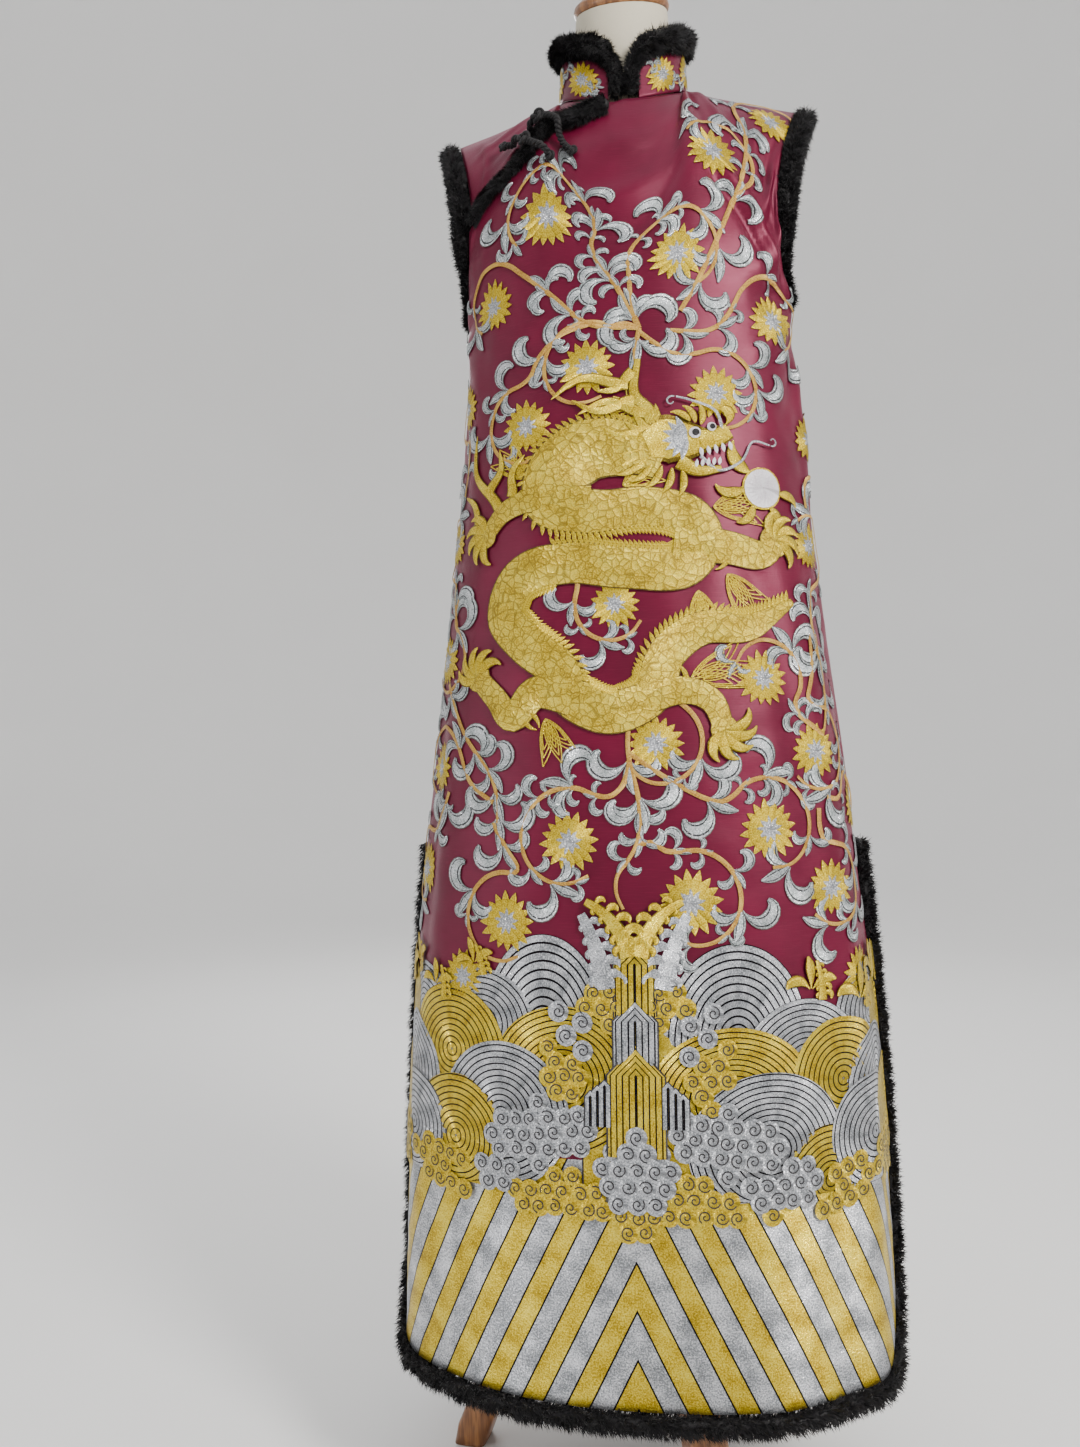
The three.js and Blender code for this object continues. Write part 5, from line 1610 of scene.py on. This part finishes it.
def dragon_leg(work, points, half, toes, spread):
    """A scaled leg with five claws and two flames at the knee."""
    path = curve(points, 0.004)
    t = np.linspace(0, 1, len(path))
    work.ribbon(path, half * (1 - 0.42 * t), SCALES, 15, 0.0014, 7)
    paw, knee = path[-1], path[len(path) // 2]
    work.disc(paw[0], paw[1], half * 0.8, SCALES, 16)
    for k in range(5):
        angle = toes + (k - 2) * 0.62
        work.hook(paw[0], paw[1], angle, 0.036, 1.7 * spread, 0.16, BOLD_GOLD, 17 + k % 2, 0.75, 10)
    for k in (-1, 1):
        work.hook(knee[0], knee[1], toes + 2.6 * k, 0.028, 1.2 * k, 0.1, BOLD_GOLD, 13, 0.8)


def fin(work, x, y, angle, size):
    """Flames left open, drawn in thin lines one inside the other."""
    for lean in (-0.42, 0.0, 0.42):
        for share in (1.0, 0.72, 0.46):
            t = np.linspace(0, 1, 12)
            bow = 0.17 * share * np.sin(math.pi * t ** 0.8)
            for sign in (-1, 1):
                along = polar(angle + lean * (0.5 + 0.5 * t), size * share * t)
                out = polar(angle + lean + QUARTER_TURN, 1.0)[None] * (sign * bow * size * 0.8)[:, None]
                start = np.array([x, y]) + polar(angle + lean, size * (1 - share) * 0.35)
                work.ribbon(start + along + out, 0.00055, GOLD_THREAD, 9, 0.0004)


def wavy(x, y, angle, size, swing, rows=16):
    """A path that swings from side to side."""
    t = np.linspace(0, 1, rows)
    heading = angle + swing * np.sin(t * 5.2)
    return np.array([x, y]) + np.cumsum(polar(heading, size / rows), 0)


def dragon_head(work, x, y):
    """The head, from what lies lowest to what lies on top."""
    head_mane(work, x, y)
    head_shape(work, x, y)
    head_teeth(work, x, y)
    head_eyes(work, x, y)
    head_whiskers(work, x, y)


def lock(work, x, y, angle, size, number, level, wide):
    """A wavy lock, which swings the other way from the one before it."""
    path = wavy(x, y, angle, size, 0.5 * (-1) ** number)
    t = np.linspace(0, 1, len(path))
    work.ribbon(path, wide * (1 - t) ** 0.6 + 0.0004, BOLD_GOLD, level, 0.001)


def head_mane(work, x, y):
    """The crest with its locks, and the frill of the neck."""
    stalk = curve([(x - 0.012, y + 0.012), (x - 0.016, y + 0.034), (x - 0.032, y + 0.056),
                   (x - 0.028, y + 0.09)], 0.004)
    work.ribbon(stalk, np.linspace(0.0085, 0.003, len(stalk)), BOLD_GOLD, 17, 0.001)
    for k, (share, size, droop) in enumerate(MANE):
        root = stalk[int(share * (len(stalk) - 1))]
        lock(work, root[0], root[1], math.pi - droop, size, k, 18 + k % 3, 0.0062)
    for k, place in enumerate(PAW_LOCKS):
        lock(work, *place, k, 13, 0.006)
    for k in range(9):
        work.petal(x - 0.008, y + 0.002, 3.9 - 0.28 * k, 0.01, 0.042, 0.0052, BOLD_GOLD, 19 - k % 2)


def head_shape(work, x, y):
    """The skull, the lower jaw, the snout and the nose's curl."""
    skull = curve([(x - 0.02, y + 0.002), (x - 0.002, y + 0.008), (x + 0.02, y + 0.006),
                   (x + 0.038, y + 0.006)], 0.004)
    swell = np.interp(np.linspace(0, 1, len(skull)), [0, 0.3, 0.7, 1], [0.016, 0.025, 0.019, 0.011])
    work.ribbon(skull, swell, BOLD_GOLD, 21, 0.0012, 9)
    jaw = curve([(x + 0.01, y - 0.014), (x + 0.028, y - 0.024), (x + 0.05, y - 0.022)], 0.004)
    work.ribbon(jaw, np.linspace(0.0085, 0.0035, len(jaw)), BOLD_GOLD, 21, 0.0014, 5)
    snout = curve([(x + 0.03, y + 0.006), (x + 0.046, y + 0.009), (x + 0.058, y + 0.016)], 0.004)
    work.ribbon(snout, np.linspace(0.012, 0.0085, len(snout)), BOLD_GOLD, 24, 0.0014, 7)
    work.hook(x + 0.052, y + 0.02, 0.6, 0.026, 2.8, 0.24, BOLD_GOLD, 27)


def head_teeth(work, x, y):
    """Two rows of teeth and the beard."""
    for k in range(5):
        upper = x + 0.03 + 0.007 * k, y - 0.002 + 0.0016 * k
        lower = x + 0.026 + 0.0055 * k, y - 0.021 + 0.0006 * k
        work.petal(*upper, -1.35, 0.0, 0.009, 0.0021, PEARL, 33, 4)
        work.petal(*lower, 1.45, 0.0, 0.008, 0.0018, PEARL, 31, 4)
    for k in range(5):
        root = x + 0.012 - 0.009 * k, y - 0.02 + 0.002 * k
        work.hook(*root, -1.3 - 0.25 * k, 0.03, -0.9, 0.13, BOLD_GOLD, 19, 0.8)


def head_eyes(work, x, y):
    """Lashes, eyes and brows."""
    for k in range(7):
        work.petal(x + 0.017, y + 0.009, 2.0 + 0.42 * k, 0.0, 0.023, 0.0038, SILVER_THREAD, 30, 5)
    for px, py, radius in ((0.025, 0.013, 0.0058), (0.041, 0.019, 0.0045)):
        work.disc(x + px, y + py, radius, PEARL, 36, thick=0.001)
        work.disc(x + px + 0.0006, y + py, radius * 0.62, INK_THREAD, 44, thick=0.0004)
    for k in range(3):
        root = x + 0.03 - 0.004 * k, y + 0.019 + 0.002 * k
        work.hook(*root, 1.2 + 0.5 * k, 0.024, 1.1, 0.15, BOLD_GOLD, 37, 0.8)


def head_whiskers(work, x, y):
    """Two silver whiskers that end in curls."""
    upper = [(0.052, 0.016), (0.045, 0.036), (0.022, 0.046), (0.008, 0.05)]
    lower = [(0.03, -0.01), (0.048, -0.024), (0.07, -0.014), (0.082, 0.006), (0.1, 0.004)]
    for points in (upper, lower):
        path = curve([(x + px, y + py) for px, py in points], 0.003)
        work.ribbon(path, np.linspace(0.0016, 0.0009, len(path)), SILVER_THREAD, 27, 0.0008)
        end = path[-1]
        heading = math.atan2(*(path[-1] - path[-2])[::-1])
        work.hook(end[0], end[1], heading, 0.02, 4.4, 0.05, SILVER_THREAD, 27, 0.6, 12)


def pearl(work, x, y):
    """The burning pearl."""
    work.disc(x, y, 0.0215, GOLD_THREAD, 15, thick=0.0006)
    work.disc(x, y, 0.0195, PEARL, 19, thick=0.0018)
    for k, size in enumerate((0.042, 0.034, 0.03, 0.036, 0.03)):
        angle = 2.2 + 0.95 * k
        start = np.array([x, y]) + polar(angle, 0.018)
        work.hook(start[0], start[1], angle + 0.5, size, -1.5, 0.17, BOLD_GOLD, 14, 0.75)


# Sea and mountain border: waves from the back row to the front, as x, y, radius, height share
# and 1 for gold
WAVES = [
    (-0.078, 0.325, 0.062, 1.48, 0), (0.1, 0.322, 0.068, 1.28, 0), (-0.225, 0.33, 0.05, 1, 0),
    (0.25, 0.335, 0.05, 1, 0), (-0.142, 0.33, 0.055, 0.95, 0), (0.165, 0.3, 0.062, 0.9, 0),
    (-0.285, 0.325, 0.048, 1, 1), (0.296, 0.325, 0.045, 1, 1), (-0.06, 0.285, 0.07, 0.95, 1),
    (-0.178, 0.302, 0.062, 1, 1), (0.095, 0.268, 0.078, 0.85, 1), (0.206, 0.28, 0.056, 1, 1),
    (-0.25, 0.272, 0.056, 1, 0), (0.262, 0.268, 0.054, 1, 0), (-0.12, 0.25, 0.066, 1, 0),
    (0.128, 0.226, 0.075, 0.9, 0), (-0.172, 0.222, 0.058, 1, 1), (0.188, 0.192, 0.052, 0.95, 1),
    (-0.236, 0.222, 0.052, 1, 0), (0.244, 0.226, 0.054, 1, 0), (-0.295, 0.24, 0.05, 1, 1),
    (0.3, 0.235, 0.05, 1, 1),
]
SEA_FLOOR = 0.182
SEA_TOP = 0.392
# Clusters of curls: middle, half size, half height, slope and 1 for gold; the first ones keep their room
CURLS = [
    (0.007, 0.21, 0.031, 0.038, 0, 0), (-0.082, 0.236, 0.045, 0.028, 0.1, 0),
    (0.088, 0.234, 0.046, 0.028, -0.15, 0), (-0.125, 0.203, 0.024, 0.02, 0, 0),
    (0.138, 0.196, 0.032, 0.026, 0, 0), (-0.048, 0.332, 0.024, 0.022, -1.0, 0),
    (0.064, 0.332, 0.024, 0.022, 1.0, 0), (-0.022, 0.352, 0.015, 0.026, 0, 1),
    (0.038, 0.352, 0.015, 0.026, 0, 1), (-0.058, 0.288, 0.02, 0.045, 0, 1),
    (0.074, 0.288, 0.022, 0.045, 0, 1), (-0.06, 0.186, 0.065, 0.022, 0, 1),
    (0.074, 0.184, 0.068, 0.024, 0, 1), (0.007, 0.168, 0.045, 0.014, 0, 1),
    (-0.185, 0.192, 0.05, 0.016, -0.2, 1), (0.2, 0.186, 0.045, 0.02, 0.2, 1),
    (-0.27, 0.2, 0.045, 0.022, 0, 1), (0.275, 0.198, 0.045, 0.022, 0, 1),
    (-0.034, 0.208, 0.02, 0.018, 0, 1), (0.048, 0.206, 0.018, 0.016, 0, 1),
]
CURL_RADIUS = 0.0092
CURL_PITCH = CURL_RADIUS * 1.62
# Leaf sprigs over the waves: x, y, way and size
SPRIGS = [
    (-0.15, 0.385, 1.7, 0.026), (0.172, 0.362, 1.5, 0.032), (-0.25, 0.375, 1.8, 0.03),
    (0.228, 0.348, 1.4, 0.034), (0.262, 0.37, 1.4, 0.03), (-0.29, 0.36, 1.7, 0.034),
    (0.29, 0.362, 1.4, 0.034), (-0.2, 0.36, 1.5, 0.026),
]
# The mountain's pile of clouds, in steps across and up
CLOUD_PLACES = [(0, 0), (-1, 0), (1, 0), (-0.5, 1), (0.5, 1), (-0.5, -1), (0.5, -1), (0, 2), (-1.5, -1),
                (1.5, -1), (-1, -2), (0, -2), (1, -2)]


def sea_border(work, rng):
    """The waves with their foam, leaf sprigs and the mountain in the middle."""
    for number, (x, y, radius, tall, gold) in enumerate(WAVES):
        thread = GOLD_ROWS if gold else SILVER_ROWS
        work.disc(x, y, radius, thread, 4 + 0.6 * number, tall, 0.0002, SEA_FLOOR)
    for x, y, angle, size in SPRIGS:
        for k in range(3):
            work.hook(x, y, angle + 0.7 * (k - 1), size, (k - 1) * 1.6 + 0.4, 0.17, BOLD_GOLD, 18 + k, 1.4)
        frond(work, x + 0.012, y - 0.012, angle, size * 1.25, 0.4, BOLD_GOLD, 16)
    placed = []
    for cluster in CURLS:
        curls(work, rng, placed, *cluster)
    mountain(work, 0.008)


def curls(work, rng, placed, x, y, wide, high, slope, gold):
    """An oval cluster of foam curls, packed closely and a little unevenly."""
    thread, level = (GOLD_THREAD, 20) if gold else (SILVER_THREAD, 24)
    for j in range(-5, 6):
        for i in range(-8, 9):
            px, py = (i + 0.5 * (j % 2)) * CURL_PITCH, j * CURL_PITCH * 0.9
            place = np.array([x + px, y + py + slope * px]) + rng.uniform(-0.0012, 0.0012, 2)
            free = all(math.hypot(*(place - other)) > 0.86 * CURL_PITCH for other in placed)
            if free and (px / wide) ** 2 + (py / high) ** 2 < 1:
                placed.append(place)
                radius = CURL_RADIUS * rng.uniform(0.95, 1.1)
                work.cloud(place[0], place[1], radius, thread, level, rng.uniform(0, 6.3))


def frond(work, x, y, angle, size, turn, thread, level):
    """A scalloped frond: a bending stem with round curls down both sides."""
    rows = 12
    t = np.linspace(0, 1, rows)
    heading = angle + turn * t
    path = np.array([x, y]) + np.cumsum(polar(heading, size / rows), 0)
    work.ribbon(path, size * 0.13 * (1 - 0.6 * t), thread, level + 5, 0.0007)
    for k in range(5):
        i = 1 + 2 * k
        for hand in (1, -1):
            reach = size * (0.4 - 0.045 * k) * (1.0 if hand * turn < 0 else 0.62)
            work.hook(path[i][0], path[i][1], heading[i] + hand * 0.75, reach, hand * 2.9, 0.2, thread,
                      level + 4 - k * 0.6, 1.25, 10)


def mountain(work, x):
    """The mountain in the middle of the sea: pointed peaks and a sprouting crown."""
    work.gate(x, 0.186, 0.05, 0.128, GOLD_THREAD, 1)
    work.gate(x, 0.325, 0.0195, 0.066, GOLD_ROWS, 22)
    for hand in (-1, 1):
        for k in range(3):
            work.gate(x + hand * (0.0285 + 0.0066 * k), 0.246, 0.0052, 0.036 - 0.005 * k, SILVER_ROWS, 29)
        low, high = (QUARTER_TURN - hand * lean for lean in (0.12, 0.15))
        frond(work, x + hand * 0.026, 0.362, low, 0.078, -hand * 0.35, SILVER_THREAD, 18)
        frond(work, x + hand * 0.004, 0.392, high, 0.072, -hand * 0.95, BOLD_GOLD, 28)
    work.gate(x, 0.27, 0.0205, 0.07, SILVER_ROWS, 25)
    work.gate(x, 0.22, 0.0265, 0.072, GOLD_ROWS, 28)
    for px, py in CLOUD_PLACES:
        work.cloud(x + px * 0.0165, 0.209 + py * 0.0145, 0.0098, SILVER_THREAD, 35, 2.2 * px + py)


def scrollwork(work, face, scrolls, stems, rng, avoid):
    """Flowers in ringing vines, with curled leaves wherever there is room beside a vine."""
    pattern = PATTERNS[face]
    paths = [work.vine(stem) for stem in stems]
    taken = [np.array([*at, size * 1.05]) for at, size, *_ in scrolls]
    for (x, y), size, radius, start, sweep, stem in scrolls:
        work.flower(x, y, size, rng.uniform(0, 0.4))
        if radius > 0:
            turn = np.linspace(0, 1, 9)
            angle = math.radians(start) + math.radians(sweep) * turn
            ring = np.array([x, y]) + polar(angle, radius * (1 - 0.3 * turn ** 2))
            paths.append(work.vine(stem + [tuple(point) for point in ring]))
    for size, gap in SPRAYS:
        for path in paths:
            ahead = unit(np.gradient(path, axis=0))
            for i in range(2, len(path) - 1, 3):
                for hand in (1, -1):
                    heading = math.atan2(ahead[i][1], ahead[i][0]) + hand * 0.9
                    middle = path[i] + polar(heading, size * 0.62)
                    if has_room(work, pattern, middle, size, gap, taken, avoid):
                        taken.append(np.array([*middle, size * 0.46]))
                        work.spray(path[i][0], path[i][1], heading, size * rng.uniform(0.92, 1.08), hand)
    return taken


def has_room(work, pattern, middle, size, gap, taken, avoid):
    """Whether a spray keeps clear of the others, of the dragon and of the cloth's edges."""
    for x, y, radius in taken:
        if math.hypot(middle[0] - x, middle[1] - y) < radius + size * 0.42 + gap * 0.4:
            return False
    if len(avoid) and np.min(np.hypot(*(avoid[:, :2] - middle).T) - avoid[:, 2]) < size * 0.5:
        return False
    return on_cloth(work, pattern, middle[0], middle[1], size * 0.75)


def on_cloth(work, pattern, x, y, margin):
    """Whether a place is on the cloth with a margin, above the sea and below the opening."""
    x = x * work.mirror
    u, w = pattern.to_cloth(np.array([x]), np.array([y]))
    low, _ = pattern.rows(w)
    reach = pattern.reach[low[0]].min() * (0.97 if w[0] > 1 else 0.95)
    if abs(x) > reach - margin or y > pattern.y[-1] - margin * 1.6:
        return False
    highest = opening_tau(u)[0] - 1.2 * margin / CHEST_LENGTH
    if pattern.face == FRONT and w[0] > 1 and w[0] - 1 > highest:
        return False
    return y > SEA_TOP + margin * 0.3


def keep_clear(points):
    """Circles along the dragon, which the leaves keep clear of."""
    rows = np.array(DRAGON_BODY)
    circles = [*rows * [1, 1, 1.25]]
    for a, b in zip(rows[:-1], rows[1:]):
        circles.append((a + b) / 2)
    for leg in DRAGON_LEGS:
        circles += [np.array([*point, 0.022]) for point in leg[0]]
    circles += [np.array([*point, 0.03]) for point in points]
    return np.array(circles)


def panel_stitching(name, face, mirror, seed, scrolls):
    """All the embroidery of the front or, mirrored, of the back."""
    work = Stitching(mirror)
    rng = np.random.default_rng(seed)
    head = [(0.0, 0.92), (-0.03, 0.94), (0.05, 0.9), (0.09, 0.88), PEARL_PLACE, (0.0, 0.44), (0.03, 0.45)]
    scrollwork(work, face, scrolls, STEMS, rng, keep_clear(head))
    dragon(work)
    sea_border(work, rng)
    pattern = PATTERNS[face]

    def to_surface(x, y, height):
        u, w = pattern.to_cloth(x, y)
        return surface(face, u, w, height)

    return work.lay(name, to_surface)


# Flowers on the collar, as the distance round it from a front end
COLLAR_FLOWERS = (0.044, 0.093, 0.146)


def collar_stitching():
    """A row of flowers round the collar, joined by a vine with leaves."""
    work = Stitching()
    rng = np.random.default_rng(4)
    length = FULL_TURN * NECK_RADIUS
    middle = COLLAR_HEIGHT * 0.48
    places = [*COLLAR_FLOWERS, length / 2, *(length - place for place in COLLAR_FLOWERS[::-1])]
    for x in places:
        work.flower(x, middle, 0.0198, rng.uniform(0, 0.4))
    stops = [0.024, *places, length - 0.024]
    for number, (a, b) in enumerate(zip(stops[:-1], stops[1:])):
        bow = (-1) ** number
        path = curve([(a, middle), ((a + b) / 2, middle + bow * 0.012), (b, middle)], 0.003)
        work.ribbon(path, 0.001, VINE_THREAD, 2, 0.0004)
        for k, share in enumerate((0.3, 0.5, 0.7)):
            point = path[int(share * (len(path) - 1))]
            hand = bow * (-1) ** k
            work.spray(point[0], point[1] - 0.002 * hand, 1.1 * hand, 0.0125, hand)
    return work.lay("stand_collar_stitching", lambda x, y, h: collar_point(x / NECK_RADIUS, y, h - 0.0001))


FRONT_STITCHING = [panel_stitching("front_panel_stitching", FRONT, 1, 31, SCROLLS)]
BACK_STITCHING = [panel_stitching("back_panel_stitching", BACK, -1, 32, SCROLLS + BACK_TOP)]
COLLAR_STITCHING = [collar_stitching()]


# The camera stands where the picture was taken, low and a little to the garment's left
IMAGE = (1080, 1447)
FOCAL_PIXELS = 1150.0
SENSOR = 36.0
CAMERA_DISTANCE = 1.232
CAMERA_HEIGHT = 0.742
CAMERA_ROUND = math.radians(4.6)
CAMERA_YAW = math.radians(4.76)
CAMERA_PITCH = math.radians(-1.67)
CAMERA_ROLL = math.radians(-1.02)


def add_camera():
    """The camera of the picture."""
    data = bpy.data.cameras.new("view")
    data.sensor_fit = "AUTO"
    data.sensor_width = SENSOR
    data.lens = FOCAL_PIXELS / max(IMAGE) * SENSOR
    data.clip_start, data.clip_end = 0.01, 100
    camera = bpy.data.objects.new("view", data)
    bpy.context.scene.collection.objects.link(camera)
    heading = CAMERA_ROUND + CAMERA_YAW
    ahead = Vector((-math.sin(heading) * math.cos(CAMERA_PITCH),
                    math.cos(heading) * math.cos(CAMERA_PITCH), -math.sin(CAMERA_PITCH)))
    level = Vector((math.cos(heading), math.sin(heading), 0))
    upright = level.cross(ahead)
    right = level * math.cos(CAMERA_ROLL) + upright * math.sin(CAMERA_ROLL)
    up = upright * math.cos(CAMERA_ROLL) - level * math.sin(CAMERA_ROLL)
    turn = Matrix((right, up, -ahead)).transposed().to_4x4()
    across, out = math.sin(CAMERA_ROUND), math.cos(CAMERA_ROUND)
    place = (CAMERA_DISTANCE * across, -CAMERA_DISTANCE * out, CAMERA_HEIGHT)
    camera.matrix_world = Matrix.Translation(place) @ turn
    bpy.context.scene.camera = camera


# Round lamps: name, place, the place they face, size, power and colour
LAMPS = [
    ("key", (2.0, -1.9, 2.2), (0, 0, 0.9), 0.9, 120, (1, 0.98, 0.95)),
    ("fill", (-2.6, -1.9, 1.3), (0, 0, 0.75), 1.6, 22, (0.95, 0.97, 1)),
    ("rim", (-0.8, 2.6, 2.4), (0, 0, 0.9), 1.4, 40, (1, 1, 1)),
]
SKY = (0.86, 0.87, 0.9, 1)
SKY_STRENGTH = 1.5


def add_lights():
    """Soft lamps and an even pale sky."""
    for name, place, target, size, power, colour in LAMPS:
        data = bpy.data.lights.new(name, "AREA")
        data.shape, data.size, data.energy, data.color = "DISK", size, power, colour
        light = bpy.data.objects.new(name, data)
        bpy.context.scene.collection.objects.link(light)
        light.location = place
        light.rotation_euler = (Vector(target) - Vector(place)).to_track_quat("-Z", "Y").to_euler()
    world = bpy.data.worlds.new("studio")
    world.use_nodes = True
    background = world.node_tree.nodes["Background"]
    background.inputs["Color"].default_value = SKY
    background.inputs["Strength"].default_value = SKY_STRENGTH
    bpy.context.scene.world = world


FLOOR_FLAT = 3.5
FLOOR_BEND = 3.5
BACKDROP = 11.0
FLOOR_SIDES = 96


def add_floor():
    """A flat round floor that bends up into a wall all round."""
    angle = np.linspace(0, FULL_TURN, FLOOR_SIDES, endpoint=False)
    bend = np.linspace(0, QUARTER_TURN, 24)
    reach = np.concatenate([[0.001, 1.0, 2.0, 3.0], FLOOR_FLAT + FLOOR_BEND * np.sin(bend), [7.0]])[:, None]
    high = np.concatenate([[0.0, 0.0, 0.0, 0.0], FLOOR_BEND * (1 - np.cos(bend)), [BACKDROP]])[:, None]
    points = np.stack([reach * np.cos(angle), reach * np.sin(angle), high + 0 * angle], -1)
    faces = grid_faces(len(reach), FLOOR_SIDES, closed=True)
    mesh_object("floor", points.reshape(-1, 3), faces, [floor_finish()])


add_camera()
add_lights()
add_floor()

front = place_piece(panel("front_panel_cloth", FRONT), "satin", "front_panel")
back = place_piece(panel("back_panel_cloth", BACK), "satin", "back_panel")
yoke_cloth = place_piece(yoke(), "satin", "front_yoke")
collar_cloth = place_piece(collar(), "satin", "stand_collar")
place_piece(fur_collar(), "fur", "fur_collar")
place_piece(fur_opening(), "fur", "fur_opening")
place_piece(fur_armhole("fur_on_armhole_left", 1, 11), "fur", "fur_armhole_left")
place_piece(fur_armhole("fur_on_armhole_right", -1, 12), "fur", "fur_armhole_right")
place_piece(fur_hem("fur_on_hem_front", FRONT, 21), "fur", "fur_hem_front")
place_piece(fur_hem("fur_on_hem_back", BACK, 22), "fur", "fur_hem_back")
for frog_name, facts in FROGS.items():
    place_piece(frog(frog_name, **facts), "cord", frog_name)
place_piece(form_torso(), "form_cloth", "form_torso")
place_piece(neck_cap(), "wood", "neck_cap")
place_piece(stand_column(), "wood", "stand_column")
for index, side_name in enumerate(("front", "left", "right")):
    leg = stand_leg(side_name, math.radians(LEG_FIRST_ANGLE + 120 * index))
    place_piece(leg, "wood", "stand_leg_" + side_name)
